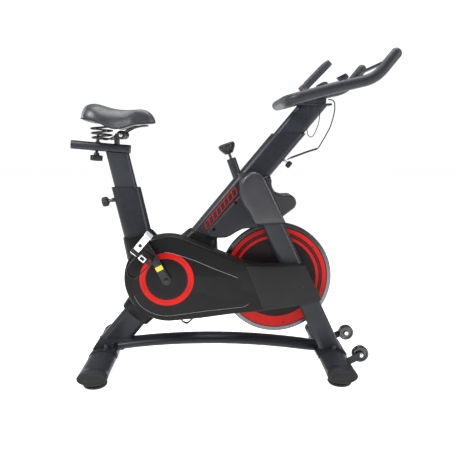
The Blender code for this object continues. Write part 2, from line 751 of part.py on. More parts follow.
def crank_axle():
    """The crank axle with the large belt pulley."""
    profile = [
        (0.0, ARM_Y + 0.006), (0.0085, ARM_Y + 0.006), (0.0085, BELT_Y + 0.016),
        (0.024, BELT_Y + 0.016), (0.024, BELT_Y + 0.004), (0.100, BELT_Y + 0.004),
        (0.102, BELT_Y + 0.010), (CRANK_PULLEY_R, BELT_Y + 0.010),
        (CRANK_PULLEY_R, BELT_Y - 0.010), (0.102, BELT_Y - 0.010),
        (0.100, BELT_Y - 0.004), (0.0085, BELT_Y - 0.004),
        (0.0085, -ARM_Y - 0.006), (0.0, -ARM_Y - 0.006)]
    axle = turned_across("crank_axle", profile, 0.0, 0.0, 36)
    axle.location = (CRANK_AXIS[0], 0.0, CRANK_AXIS[1])
    return dress(axle, "dark_steel")


def belt_path(radius_grow):
    """The belt's outline round both pulleys, a closed loop in X and Z."""
    big = Vector(CRANK_AXIS)
    small = Vector(FLYWHEEL_AXIS)
    big_r = CRANK_PULLEY_R + radius_grow
    small_r = FLY_PULLEY_R + radius_grow
    line = small - big
    heading = math.degrees(math.atan2(line.y, line.x))
    lean = math.degrees(math.acos((big_r - small_r) / line.length))
    return (arc(big, big_r, heading + lean, heading + 360.0 - lean, 34)
            + arc(small, small_r, heading - lean, heading + lean, 14))


def belt():
    loop = [belt_path(0.0030), belt_path(0.0005)]
    return dress(upright_flat("belt", loop, BELT_Y - 0.0075, BELT_Y + 0.0075), "black_rubber")


def pedal_axis(side):
    """Where one pedal's spindle stands, as (x, z).  The two cranks are opposite."""
    turn = CRANK_ANGLE if side < 0 else CRANK_ANGLE + math.pi
    return (CRANK_AXIS[0] + CRANK_LENGTH * math.cos(turn), CRANK_AXIS[1] + CRANK_LENGTH * math.sin(turn))


def crank_arm(side):
    end = pedal_axis(side)
    heading = math.degrees(math.atan2(end[1] - CRANK_AXIS[1], end[0] - CRANK_AXIS[0]))
    outline = arc(CRANK_AXIS, 0.0175, heading + 70, heading + 290, 14)
    outline += arc(end, 0.0125, heading - 90, heading + 90, 10)
    low, high = sorted((side * (ARM_Y - 0.007), side * (ARM_Y + 0.007)))
    hole = circle(CRANK_AXIS, 0.0088, 20)
    arm = upright_flat(side_name("crank_arm", side), [outline, hole], low, high)
    low, high = sorted((side * (ARM_Y + 0.004), side * 0.2260))
    combine(arm, rod(side_name("spindle", side), 0.0060, *end, low, high), "UNION")
    return dress(pivot(arm, (CRANK_AXIS[0], 0.0, CRANK_AXIS[1])), "dark_steel")


def pedal_frame(side):
    """The pedal's local frame: +X to the toe, +Y across, +Z out of the tread."""
    lean = math.radians(130.5 if side < 0 else 128.0)
    end = pedal_axis(side)
    return Matrix.Translation((end[0], side * PEDAL_Y, end[1])) @ Matrix.Rotation(lean, 4, "Y")


def pedal(side):
    body = rounded(0.086, 0.080, 0.012)
    windows = []
    for x in (-0.024, 0.024):
        for y in (-0.020, 0.020):
            windows.append([(x + px, y + py) for px, py in rounded(0.020, 0.026, 0.004, 3)])
    name = side_name("pedal", side)
    made = flat(name, [body] + windows, 0.024)
    bore = turned(name + "_bore", [(0.0, 0.06), (0.0064, 0.06), (0.0064, -0.06), (0.0, -0.06)], 20)
    bore.data.transform(ACROSS)
    combine(made, bore)
    bore.matrix_world = pedal_frame(side)
    made.matrix_world = pedal_frame(side)
    return dress(made, "aluminium")


def toe_cage(side):
    """The toe clip at the pedal's front, and the strap that loops round the pedal and over the foot."""
    name = side_name("toe_cage", side)
    run = [(0.0452, -0.0100), (0.0452, 0.0140), (0.0950, 0.0140), (0.1220, 0.0360), (0.1120, 0.0640), (0.0300, 0.0720)]
    clip = upright_flat(name, [ribbon(run, 0.003)], -0.016, 0.016)
    half, low, high = 0.0435, -0.0156, 0.0720
    outer = [(-half, low), (half, low), (half, high - 0.016), (half - 0.014, high), (-half + 0.014, high),
             (-half, high - 0.016)]
    inner = inset_outline(outer, 0.003)
    strap = flat(name + "_strap", [outer, inner], 0.016)
    stand = Matrix(((0.0, 0.0, 1.0, 0.0), (1.0, 0.0, 0.0, 0.0), (0.0, 1.0, 0.0, 0.0), (0.0, 0.0, 0.0, 1.0)))
    strap.data.transform(Matrix.Translation((0.030, 0.0, 0.0)) @ stand)
    combine(clip, strap, "UNION")
    strap.matrix_world = pedal_frame(side)
    clip.matrix_world = pedal_frame(side)
    return dress(clip, "black_rubber")


# Resistance


def brake_housing():
    """The sleeve on the main tube that guides the resistance rod."""
    profile = [(0.0, HOUSING_LENGTH), (0.0172, HOUSING_LENGTH), (0.0180, HOUSING_LENGTH - 0.003),
               (0.0180, -0.034), (0.0, -0.034)]
    housing = turned("brake_housing", profile, 28)
    housing.data.transform(brake_place())
    combine(housing, brake_rod_tool("housing_bore", 0.0066, -0.05, 0.10))
    combine(housing, leaning("housing_seat", MAIN_FOOT, MAIN_SLOPE, 0.55, 0.88, grown(MAIN_SIZE)))
    return dress(housing, "cover_plastic")


def brake_rod():
    """The rod that is pressed to stop the flywheel, with the felt pad's shoe at its foot."""
    profile = [(0.0, 0.114), (0.0055, 0.114), (0.0055, ROD_FOOT), (0.0, ROD_FOOT)]
    made = turned("brake_rod", profile, 16)
    shoe = [(-0.022, -0.1945), (0.026, -0.1925), (0.022, -0.1820), (-0.018, -0.1820)]
    combine(made, upright_flat("brake_shoe", [shoe], -0.009, 0.009), "UNION")
    bpy.data.objects["brake_shoe"].data.transform(brake_place())
    made.data.transform(brake_place())
    return dress(pivot(made, (BRAKE_FOOT[0], 0.0, BRAKE_FOOT[1])), "dark_steel")


def brake_knob():
    """The mushroom-shaped resistance knob on top of the rod."""
    low = 0.0985
    profile = [
        (0.0, low + 0.0405), (0.0240, low + 0.0400), (0.0305, low + 0.0370), (0.0328, low + 0.0315),
        (0.0318, low + 0.0240), (0.0230, low + 0.0090), (0.0175, low + 0.0025), (0.0155, low),
        (0.0060, low), (0.0060, low + 0.0180), (0.0, low + 0.0180)]
    knob = turned("brake_knob", profile, 24)
    knob.data.transform(brake_place())
    return dress(pivot(knob, (BRAKE_FOOT[0], 0.0, BRAKE_FOOT[1])), "black_rubber")


# Seat


def rail_place():
    return Matrix.Translation((RAIL_CENTRE[0], 0.0, RAIL_CENTRE[1])) @ Matrix.Rotation(RAIL_TILT, 4, "Y")


def rail_solid(name, size, radius):
    """A rounded bar along the slide's own length, centred in its frame."""
    bar = flat(name, [rounded(size[1], size[2], radius, 5)], size[0])
    stand = Matrix(((0.0, 0.0, 1.0, 0.0), (1.0, 0.0, 0.0, 0.0), (0.0, 1.0, 0.0, 0.0), (0.0, 0.0, 0.0, 1.0)))
    bar.data.transform(stand)
    return bar


def slide_rail():
    """The level tube on the seat post that the saddle slides along."""
    rail = rail_solid("slide_rail", RAIL_SIZE, 0.011)
    soften(rail, 0.006, 3, 50.0)
    combine(rail, box("slide_rail_room", (-0.102, -0.018, -0.013), (0.102, 0.018, 0.013)))
    combine(rail, box("slide_rail_top_slot", (-0.083, -0.0118, 0.0), (0.086, 0.0118, 0.03)))
    combine(rail, box("slide_rail_low_slot", (-0.083, -0.0070, -0.03), (0.014, 0.0070, 0.0)))
    for cutter in ("slide_rail_room", "slide_rail_top_slot", "slide_rail_low_slot"):
        bpy.data.objects[cutter].data.transform(rail_place())
    rail.data.transform(rail_place())
    return dress(rail, "post_steel")


def seat_post():
    post = leaning("seat_post", SEAT_FOOT, SEAT_SLOPE, 0.545, 0.860, POST_SIZE, 0.003)
    room = rail_solid("seat_post_cope", (0.30, 0.060, RAIL_SIZE[2] + 2 * GAP), 0.004)
    room.data.transform(Matrix.Translation((0.0, 0.0, 0.0)) @ rail_place())
    combine(post, room)
    above = box("seat_post_above", (-0.60, -0.05, 0.868), (-0.30, 0.05, 0.90))
    combine(post, above)
    return dress(post, "post_steel")


def saddle_slider():
    """The block in the slide with the saddle's upright and the lock bolt's boss."""
    to_rail = rail_place().inverted()
    slider = box("saddle_slider", (-0.032, -0.0172, -0.0122), (0.080, 0.0172, 0.0122))
    slider.data.transform(rail_place())
    pin_height = CLAMP_AXIS[1] - 0.862
    pin = turned("saddle_upright", [(0.0, pin_height), (0.0105, pin_height), (0.0105, 0.0), (0.0, 0.0)], 24)
    combine(slider, move(pin, (SADDLE_PIN_X, 0.0, 0.862)), "UNION")
    neck = [(SADDLE_PIN_X - 0.010, CLAMP_AXIS[1] - 0.022), (CLAMP_AXIS[0], CLAMP_AXIS[1] - 0.0115),
            (CLAMP_AXIS[0], CLAMP_AXIS[1] + 0.0115), (SADDLE_PIN_X - 0.004, CLAMP_AXIS[1] + 0.006)]
    combine(slider, upright_flat("saddle_upright_neck", [neck], -0.0095, 0.0095), "UNION")
    combine(slider, rod("saddle_barrel", 0.0125, *CLAMP_AXIS, -0.0135, 0.0135), "UNION")
    combine(slider, rod("saddle_barrel_hole", 0.0062, *CLAMP_AXIS, -0.03, 0.03))
    boss_x = to_rail @ Vector((-0.486, 0.0, 0.90))
    boss = turned("lock_bolt_boss", [(0.0, 0.047), (0.0050, 0.047), (0.0062, 0.030), (0.0062, 0.019),
                                     (0.0100, 0.018), (0.0100, 0.0), (0.0, 0.0)], 20)
    move(boss, (boss_x.x, 0.0, 0.0))
    boss.data.transform(rail_place())
    combine(slider, boss, "UNION")
    return dress(slider, "dark_steel")


def slide_knob():
    """The knob under the slide that locks the saddle's fore-and-aft place."""
    top = -0.0122 - GAP
    profile = [(0.0, top), (0.0058, top), (0.0058, -0.0230), (0.0100, -0.0235), (0.0105, -0.0325),
               (0.0225, -0.0330), (0.0235, -0.0350), (0.0235, -0.0510), (0.0220, -0.0535), (0.0, -0.0535)]
    knob = turned("slide_knob", profile, 24)
    move(knob, (-0.0155, 0.0, 0.0))
    knob.data.transform(rail_place())
    centre = rail_place() @ Vector((-0.0155, 0.0, -0.04))
    return dress(pivot(knob, tuple(centre)), "black_rubber")


SADDLE_STATIONS = (
    # x, half width, top, skirt, middle of the underside
    (-0.5330, 0.060, 0.990, 0.9640, 0.9660),
    (-0.5260, 0.084, 1.005, 0.9600, 0.9600),
    (-0.5130, 0.098, 1.016, 0.9575, 0.9540),
    (-0.4950, 0.106, 1.0195, 0.9555, 0.9500),
    (-0.4700, 0.110, 1.0165, 0.9490, 0.9480),
    (-0.4450, 0.107, 1.0080, 0.9370, 0.9470),
    (-0.4200, 0.096, 1.0005, 0.9250, 0.9465),
    (-0.3950, 0.078, 0.9975, 0.9235, 0.9465),
    (-0.3700, 0.058, 0.9970, 0.9310, 0.9465),
    (-0.3450, 0.042, 0.9985, 0.9400, 0.9470),
    (-0.3180, 0.034, 1.0000, 0.9440, 0.9475),
    (-0.2950, 0.029, 0.9945, 0.9455, 0.9475),
    (-0.2780, 0.022, 0.9800, 0.9460, 0.9480),
    (-0.2670, 0.012, 0.9620, 0.9480, 0.9490),
)


def saddle():
    rings = []
    upper = 14
    for x, half, top, skirt, middle in SADDLE_STATIONS:
        ring = []
        for i in range(upper + 1):
            angle = math.pi * i / upper
            across = half * math.copysign(abs(math.cos(angle)) ** 0.75, math.cos(angle))
            ring.append((x, across, skirt + (top - skirt) * math.sin(angle) ** 0.80))
        for share in (-0.72, -0.40, 0.0, 0.40, 0.72):
            rise = (middle - skirt) * (1.0 - share * share)
            ring.append((x, half * share, skirt + rise))
        rings.append(ring)
    return dress(loft("saddle", rings), "saddle_skin")


def coil(centre_x, centre_y, low, high, low_r, high_r, turns, start, direction, per_turn=8):
    """Points of a conical coil that rises from low to high."""
    points = []
    count = int(turns * per_turn)
    for i in range(count + 1):
        share = i / count
        angle = math.radians(start + direction * 360.0 * turns * share)
        radius = low_r + (high_r - low_r) * share
        points.append((centre_x + radius * math.cos(angle), centre_y + radius * math.sin(angle),
                       low + (high - low) * share))
    return points


def saddle_rails():
    """One wire: a coil spring, the rail to the nose, the other rail and its spring."""
    spring = coil(-0.470, 0.054, 0.8890, 0.9385, 0.0240, 0.0300, 3.0, 0.0, 1.0)
    rail = [(-0.432, 0.043, 0.8925), (-0.415, 0.0350, 0.9030), (-0.400, 0.0345, 0.9158),
            (-0.384, 0.0345, 0.9162), (-0.366, 0.0340, 0.9260), (-0.348, 0.0320, 0.9340),
            (-0.325, 0.0260, 0.9385), (-0.305, 0.0170, 0.9400), (-0.2985, 0.0080, 0.9400)]
    half = list(reversed(spring)) + rail
    other = [(x, -y, z) for x, y, z in reversed(half)]
    return dress(wire("saddle_rails", half + other, 0.0031), "dark_steel")


def saddle_clamp():
    """The bolt, inner washers and outer nuts that grip the rails."""
    profile = [
        (0.0, 0.0490), (0.0135, 0.0480), (0.0160, 0.0460), (0.0165, 0.0385), (0.0062, 0.0385),
        (0.0062, 0.0300), (0.0160, 0.0300), (0.0160, 0.0139), (0.0059, 0.0139)]
    profile += [(radius, -y) for radius, y in reversed(profile)]
    clamp = turned_across("saddle_clamp", profile, 0.0, 0.0, 16)
    clamp.location = (CLAMP_AXIS[0], 0.0, CLAMP_AXIS[1])
    return dress(clamp, "dark_steel")


def pull_knob(name, place, heading, scale, bracket):
    """A spring-loaded locking knob that is pulled straight out along its heading."""
    profile = [
        (0.0, 0.0480), (0.0150, 0.0480), (0.0185, 0.0450), (0.0185, 0.0280), (0.0150, 0.0245),
        (0.0080, 0.0235), (0.0070, 0.0)]
    profile = [(radius * scale, height * scale) for radius, height in profile] + [(0.0, 0.0)]
    knob = turned(name, profile, 24)
    knob.data.transform(Matrix.Rotation(math.pi / 2.0 - heading, 4, "Y"))
    knob.location = (place[0] + bracket * math.cos(heading), 0.0, place[1] + bracket * math.sin(heading))
    return dress(knob, "black_rubber")


def seat_height_knob():
    z = 0.6610
    edge = SEAT_FOOT + SEAT_SLOPE * z - SEAT_SIZE[0] / 2.0 * math.sqrt(1.0 + SEAT_SLOPE ** 2)
    return pull_knob("seat_height_knob", (edge, z), math.radians(180.0 + 12.3), 1.0, GAP + 0.0002)


def handlebar_knob():
    z = 0.8120
    edge = main_x(z) + MAIN_SIZE[0] / 2.0 * math.sqrt(1.0 + MAIN_SLOPE ** 2)
    return pull_knob("handlebar_knob", (edge, z), math.radians(-40.1), 0.72, GAP + 0.0002)


# Handlebar


def handlebar_post():
    post = leaning("handlebar_post", MAIN_FOOT, MAIN_SLOPE, 0.792, HEAD_POST_TOP, HEAD_POST_SIZE, 0.003)
    x = main_x(HEAD_POST_TOP)
    plate = box("handlebar_plate", (x - 0.066, -0.030, HEAD_POST_TOP - 0.003), (x + 0.066, 0.030, HEAD_POST_TOP + 0.004))
    combine(post, plate, "UNION")
    return dress(post, "post_steel")


def smooth_path(corners, count=6):
    """Round each inner corner (place, radius) of a path with a quadratic curve."""
    path = [Vector(corners[0][0])]
    for (before, _), (corner, radius), (after, _) in zip(corners, corners[1:], corners[2:]):
        corner = Vector(corner)
        start = corner + (Vector(before) - corner).normalized() * radius
        end = corner + (Vector(after) - corner).normalized() * radius
        for i in range(count + 1):
            t = i / count
            path.append(start * (1 - t) ** 2 + corner * 2 * t * (1 - t) + end * t ** 2)
    path.append(Vector(corners[-1][0]))
    return [tuple(place) for place in path]


def handlebar():
    """The bar: a hand rest across the rider's side and two horns that rise at the front."""
    half = [
        ((0.5725, 0.2122, 1.1880), 0.0), ((0.4960, 0.2090, 1.0930), 0.040),
        ((0.3600, 0.1940, 1.0630), 0.030), ((0.2030, 0.1760, 1.0220), 0.055)]
    corners = half + [((x, -y, z), radius) for (x, y, z), radius in reversed(half)]
    bar = wire("handlebar", smooth_path(corners), 0.0190, False, 3)
    across = [(0.3300, -0.1850, 1.0520), (0.3300, 0.1850, 1.0520)]
    combine(bar, wire("handlebar_stay", across, 0.0140, False, 2), "UNION")
    front = [(0.5380, -0.2050, 1.1520), (0.5380, 0.2050, 1.1520)]
    combine(bar, wire("handlebar_cross", front, 0.0065, False, 2), "UNION")
    foot = box("handlebar_foot", (0.2900, -0.0280, HEAD_POST_TOP + 0.004 + GAP), (0.3700, 0.0280, 1.0520))
    combine(bar, foot, "UNION")
    return dress(bar, "grip_foam")


def console_place():
    return Matrix.Translation((0.3285, 0.0, 1.1205)) @ Matrix.Rotation(math.radians(-45.5), 4, "Y")


def console():
    body = flat("console", [rounded(0.136, 0.108, 0.014, 5)], 0.024)
    soften(body, 0.004, 2, 60.0)
    button = turned("console_button_room", [(0.0, 0.02), (0.0092, 0.02), (0.0092, 0.0088), (0.0, 0.0088)], 20)
    combine(body, move(button, (-0.052, 0.0, 0.0)))
    button.data.transform(console_place())
    body.data.transform(console_place())
    return dress(body, "console_plastic")


def console_button():
    button = turned("console_button", [(0.0, 0.0142), (0.0075, 0.0138), (0.0087, 0.0120), (0.0087, 0.0108), (0.0, 0.0108)], 20)
    move(button, (-0.052, 0.0, 0.0))
    button.data.transform(console_place())
    centre = console_place() @ Vector((-0.052, 0.0, 0.012))
    return dress(pivot(button, tuple(centre)), "orange_button")


def media_tray():
    """The rest in front of the console that holds a phone or tablet, and its foot."""
    low = 1.0664
    outline = [(0.345, low), (0.372, low), (0.378, 1.076), (0.400, 1.082), (0.430, 1.098), (0.4420, 1.114),
               (0.428, 1.1265), (0.4240, 1.1235), (0.4340, 1.1130), (0.4250, 1.1020), (0.398, 1.0855),
               (0.372, 1.0815), (0.360, 1.0960), (0.348, 1.0960)]
    tray = upright_flat("media_tray", [outline], -0.070, 0.070)
    return dress(tray, "console_plastic")


SENSOR_LEAD = (
    (0.2295, -0.012, 0.8140), (0.2420, -0.014, 0.8205), (0.2700, -0.018, 0.8310), (0.3050, -0.020, 0.8440),
    (0.3410, -0.020, 0.8550), (0.3560, -0.020, 0.8760), (0.3720, -0.020, 0.9040), (0.3880, -0.020, 0.9360),
    (0.3980, -0.020, 0.9700), (0.4030, -0.020, 1.0000), (0.4020, -0.020, 1.0220), (0.3960, -0.020, 1.0330),
    (0.3850, -0.020, 1.0360), (0.3780, -0.020, 1.0365))

PULSE_LEAD = (
    (0.3400, -0.0345, 1.0270), (0.3440, -0.0360, 1.0050), (0.3440, -0.0360, 0.9750), (0.3400, -0.0350, 0.9450),
    (0.3300, -0.0330, 0.9180), (0.3210, -0.0310, 0.9020), (0.3120, -0.0300, 0.8990), (0.3030, -0.0290, 0.9080),
    (0.3000, -0.0290, 0.9230), (0.2990, -0.0290, 0.9550), (0.2990, -0.0300, 0.9900), (0.3000, -0.0330, 1.0140))


def sensor_lead():
    return dress(wire("sensor_lead", SENSOR_LEAD, 0.0022), "black_rubber")


def pulse_lead():
    return dress(wire("pulse_lead", PULSE_LEAD, 0.0016), "black_rubber")


def build():
    main_tube()
    seat_tube()
    base_beam()
    rear_stabilizer()
    front_stabilizer()
    bottom_bracket()
    for side in (-1, 1):
        fork_leg(side)
        crown_cover(side)
        flywheel_face(side)
        crank_arm(side)
        pedal(side)
        toe_cage(side)
        transport_wheel(side)
        for stem, x in (("rear", REAR_X), ("front", FRONT_X)):
            end_cap(stem + "_end_cap", x, side)
            levelling_foot(stem + "_foot", x, side)
    brake_cover()
    front_cover()
    belt_cover()
    belt_cover_back()
    cover_ring()
    crank_cover_left()
    boot("main_tube_boot", MAIN_FOOT, MAIN_SLOPE, MAIN_SIZE, MAIN_BOOT_ROWS)
    boot("seat_tube_boot", SEAT_FOOT, SEAT_SLOPE, SEAT_SIZE, SEAT_BOOT_ROWS)
    boot("rear_leg_boot", MAIN_FOOT, MAIN_SLOPE, MAIN_SIZE, LEG_BOOT_ROWS)
    belt()
    flywheel()
    flywheel_shaft()
    crank_axle()
    brake_housing()
    brake_rod()
    brake_knob()
    seat_post()
    seat_height_knob()
    slide_rail()
    saddle_slider()
    slide_knob()
    saddle()
    saddle_rails()
    saddle_clamp()
    handlebar_post()
    handlebar()
    handlebar_knob()
    console()
    console_button()
    media_tray()
    sensor_lead()
    pulse_lead()


build()
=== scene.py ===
"""Looks for an indoor cycling bike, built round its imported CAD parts.

Metres, +Z up.  The bike faces +X and stands on z = 0, and the rider's right is -Y.
Shapes come first, then materials, then one section for each group of pieces.
"""

from contextlib import contextmanager
from math import acos, atan2, copysign, cos, degrees, exp, hypot, pi, radians, sin, sqrt

import bmesh
import bpy
from mathutils import Matrix, Vector, noise


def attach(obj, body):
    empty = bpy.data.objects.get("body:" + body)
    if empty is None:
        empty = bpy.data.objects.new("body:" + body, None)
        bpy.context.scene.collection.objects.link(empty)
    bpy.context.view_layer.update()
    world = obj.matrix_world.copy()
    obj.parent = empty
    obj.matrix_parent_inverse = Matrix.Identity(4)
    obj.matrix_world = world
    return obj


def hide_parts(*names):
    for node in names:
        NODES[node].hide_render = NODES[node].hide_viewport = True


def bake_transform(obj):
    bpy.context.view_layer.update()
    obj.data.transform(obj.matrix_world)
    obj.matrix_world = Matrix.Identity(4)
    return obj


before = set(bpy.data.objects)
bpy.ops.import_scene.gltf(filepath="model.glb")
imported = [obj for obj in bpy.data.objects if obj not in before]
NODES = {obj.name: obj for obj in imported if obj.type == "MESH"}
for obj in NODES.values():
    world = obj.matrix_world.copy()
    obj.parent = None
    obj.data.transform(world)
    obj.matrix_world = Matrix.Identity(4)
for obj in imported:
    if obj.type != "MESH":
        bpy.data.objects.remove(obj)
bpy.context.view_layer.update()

GAP = 0.0003  # between pieces that would touch
MERGE = 0.00002

# Frame tubes.  A tube's axis is x = foot + slope * z.
MAIN_FOOT, MAIN_SLOPE, MAIN_SIZE, MAIN_TOP = -0.5325, 0.8418, (0.101, 0.052), 0.912
SEAT_FOOT, SEAT_SLOPE, SEAT_SIZE, SEAT_TOP = -0.2319, -0.218, (0.1085, 0.05), 0.709
FORK_FOOT, FORK_SLOPE, FORK_SIZE, FORK_Y = 0.4429, -0.472, (0.0815, 0.04), 0.0465

FORK_HALF = FORK_SIZE[0] / 2.0 * sqrt(1.0 + FORK_SLOPE ** 2)  # level, at one height

# Ground pieces
REAR_X, FRONT_X = -0.488, 0.413
STABILIZER_Z, STABILIZER_A, STABILIZER_B = 0.047, 0.054, 0.026
STABILIZER_END = 0.2147
LEVELLER_Y, LEVELLER_R = 0.205, 0.0445
WHEEL_AXIS, WHEEL_R, WHEEL_Y = (0.511, 0.075), 0.032, 0.115

# Drive
CRANK_AXIS, FLYWHEEL_AXIS = (-0.227, 0.375), (0.192, 0.352)
FLYWHEEL_R, CRANK_LENGTH = 0.22, 0.17
CRANK_ANGLE = radians(118.0)
ARM_Y, PEDAL_Y = 0.1305, 0.185
COVER_FACE, COVER_BACK, COVER_R, COVER_CENTRE = -0.118, -0.0515, 0.165, (-0.222, 0.3745)

# Seat, resistance rod and handlebar
POST_SIZE, HEAD_POST_SIZE, HEAD_POST_TOP = (0.0845, 0.036), (0.088, 0.04), 1.018
RAIL_TILT, RAIL_CENTRE = radians(4.9), (-0.476, 0.862)
CLAMP_AXIS = (-0.392, 0.906)
BRAKE_FOOT, BRAKE_LEAN, HOUSING_LENGTH = (0.042, 0.7437), radians(19.5), 0.078

UPRIGHT = Matrix.Rotation(radians(90.0), 4, "X")  # outline (x, y) becomes (x, z)
ACROSS = Matrix.Rotation(radians(-90.0), 4, "X")  # a turned piece's +Z becomes +Y
MIRROR = Matrix.Scale(-1.0, 4, Vector((0.0, 1.0, 0.0)))  # the other side of the bike
STAND = Matrix(((0, 0, 1, 0), (1, 0, 0, 0), (0, 1, 0, 0), (0, 0, 0, 1)))  # outline (x, y) becomes (y, z)


def move(x, y, z):
    return Matrix.Translation((x, y, z))


def about_y(angle):
    return Matrix.Rotation(angle, 4, "Y")


# Shapes.  Each returns a mesh object at the world origin.


def add(name, data):
    made = bpy.data.objects.new(name, data)
    bpy.context.scene.collection.objects.link(made)
    return made


@contextmanager
def editing(mesh):
    shape = bmesh.new()
    shape.from_mesh(mesh)
    yield shape
    shape.to_mesh(mesh)
    shape.free()


def cleaned(mesh):
    """Merge what touches, and turn the faces outwards."""
    with editing(mesh) as shape:
        bmesh.ops.remove_doubles(shape, verts=shape.verts, dist=MERGE)
        bmesh.ops.recalc_face_normals(shape, faces=shape.faces)


def bake(source, name):
    """Turn a curve, or an object with modifiers, into a plain welded mesh object."""
    if not source.users_collection:
        bpy.context.scene.collection.objects.link(source)
    bpy.context.view_layer.update()
    evaluated = source.evaluated_get(bpy.context.evaluated_depsgraph_get())
    mesh = bpy.data.meshes.new_from_object(evaluated)
    bpy.data.objects.remove(source, do_unlink=True)
    cleaned(mesh)
    return add(name, mesh)


def flat(name, outlines, thickness, edge=0.0, steps=4):
    """A flat outline with holes, centred on its plane, its rims rounded by the edge radius."""
    curve = bpy.data.curves.new(name, "CURVE")
    curve.dimensions = "2D"
    curve.fill_mode = "BOTH"
    curve.extrude = thickness / 2.0 - edge
    curve.bevel_depth = edge
    curve.bevel_resolution = steps
    curve.offset = -edge
    for outline in outlines:
        spline = curve.splines.new("POLY")
        spline.points.add(len(outline) - 1)
        for point, (x, y) in zip(spline.points, outline):
            point.co = (x, y, 0.0, 1.0)
        spline.use_cyclic_u = True
    return bake(bpy.data.objects.new(name + "_curve", curve), name)


def upright_flat(name, outlines, low_y, high_y, edge=0.0, steps=4):
    low_y, high_y = sorted((low_y, high_y))
    made = flat(name, outlines, high_y - low_y, edge, steps)
    return shift(made, move(0.0, (low_y + high_y) / 2.0, 0.0) @ UPRIGHT)


def turned(name, profile, steps=64, closed=False):
    """A profile of (radius, height), from top to bottom, turned about Z."""
    mesh = bpy.data.meshes.new(name)
    edges = [(i, i + 1) for i in range(len(profile) - 1)]
    if closed:
        edges.append((len(profile) - 1, 0))
    mesh.from_pydata([(radius, 0.0, height) for radius, height in profile], edges, [])
    source = bpy.data.objects.new(name + "_profile", mesh)
    screw = source.modifiers.new("turn", "SCREW")
    screw.steps = steps
    screw.render_steps = steps
    screw.use_merge_vertices = True
    screw.merge_threshold = 0.00005
    return bake(source, name)


def turned_across(name, profile, x, z, steps=64, closed=False):
    """The same, turned about a line along Y.  Heights in the profile are values of Y."""
    return shift(turned(name, profile, steps, closed), move(x, 0.0, z) @ ACROSS)


def loft(name, rings, closed_ends=True):
    """Rings of the same number of points, joined one after another."""
    mesh = bpy.data.meshes.new(name)
    with editing(mesh) as shape:
        rows = [[shape.verts.new(place) for place in ring] for ring in rings]
        count = len(rings[0])
        for first, second in zip(rows, rows[1:]):
            for i in range(count):
                j = (i + 1) % count
                shape.faces.new((first[i], first[j], second[j], second[i]))
        if closed_ends:
            shape.faces.new(rows[0])
            shape.faces.new(list(reversed(rows[-1])))
        bmesh.ops.recalc_face_normals(shape, faces=shape.faces)
    return add(name, mesh)


def tube(name, points, radius, sides=14, closed=False):
    """A round tube along points.  The radius is a number, or a function of the share of the way."""
    points = [Vector(point) for point in points]
    count = len(points)
    ahead = []
    for i in range(count):
        before = points[i - 1] if i or closed else points[0]
        after = points[(i + 1) % count] if closed or i < count - 1 else points[-1]
        ahead.append((after - before).normalized())
    side = ahead[0].orthogonal().normalized()
    if abs(ahead[0].z) < 0.99:
        side = ahead[0].cross(Vector((0.0, 0.0, 1.0))).normalized()
    rings = []
    for i, place in enumerate(points):
        side = (side - ahead[i] * side.dot(ahead[i])).normalized()
        up = ahead[i].cross(side)
        size = radius(i / (count - 1)) if callable(radius) else radius
        turns = [2.0 * pi * k / sides for k in range(sides)]
        rings.append([place + (side * cos(a) + up * sin(a)) * size for a in turns])
    if closed:
        rings.append(rings[0])
        return weld(loft(name, rings, False))
    return loft(name, rings)


def weld(target):
    cleaned(target.data)
    return target


def box(name, low, high):
    mesh = bpy.data.meshes.new(name)
    size = [high[i] - low[i] for i in range(3)]
    middle = [(high[i] + low[i]) / 2.0 for i in range(3)]
    with editing(mesh) as shape:
        bmesh.ops.create_cube(shape, size=1.0, matrix=Matrix.LocRotScale(middle, None, size))
    return add(name, mesh)


def shift(target, matrix):
    """Move the mesh itself.  A mirrored one keeps its faces outwards."""
    target.data.transform(matrix)
    if matrix.determinant() < 0.0:
        target.data.flip_normals()
    return target


def applied(target):
    """Apply a target's modifiers."""
    name = target.name
    target.name = name + "_raw"
    return bake(target, name)


def cut(target, tool, operation="DIFFERENCE"):
    """A boolean with a tool, which is used up."""
    modifier = target.modifiers.new("cut", "BOOLEAN")
    modifier.operation = operation
    modifier.solver = "EXACT"
    modifier.object = tool
    bpy.context.view_layer.update()
    made = applied(target)
    bpy.data.objects.remove(tool, do_unlink=True)
    return made


def rounded_edges(target, width, segments=3, angle=40.0):
    bevel = target.modifiers.new("rounded", "BEVEL")
    bevel.width = width
    bevel.segments = segments
    bevel.limit_method = "ANGLE"
    bevel.angle_limit = radians(angle)
    return applied(target)


def joined(name, *parts):
    """Several meshes as one piece, each a closed body of its own."""
    mesh = bpy.data.meshes.new(name)
    with editing(mesh) as shape:
        for part in parts:
            shape.from_mesh(part.data)
    for part in parts:
        bpy.data.objects.remove(part, do_unlink=True)
    return add(name, mesh)


def crumple(target, size, height):
    """Push vertices along their normals by smooth noise, for a welded surface."""
    normals = [vertex.normal.copy() for vertex in target.data.vertices]
    for vertex, normal in zip(target.data.vertices, normals):
        vertex.co += normal * height * noise.noise(vertex.co / size)
    return target


def drawn_in(target, inner, share):
    """Draw the rim of a turned piece in by a share of its radius, which makes ribs and flutes."""
    for vertex in target.data.vertices:
        reach = hypot(vertex.co.x, vertex.co.y)
        if reach > inner:
            kept_share = 1.0 - share(reach, atan2(vertex.co.y, vertex.co.x), vertex.co.z)
            vertex.co.x *= kept_share
            vertex.co.y *= kept_share
    return target


# Outlines


def mm(*rows):
    """Rows of millimetres, in metres."""
    return [tuple(value / 1000.0 for value in row) for row in rows]


def arc(centre, radius, start, end, count):
    steps = [radians(start + (end - start) * i / (count - 1)) for i in range(count)]
    return [(centre[0] + radius * cos(a), centre[1] + radius * sin(a)) for a in steps]


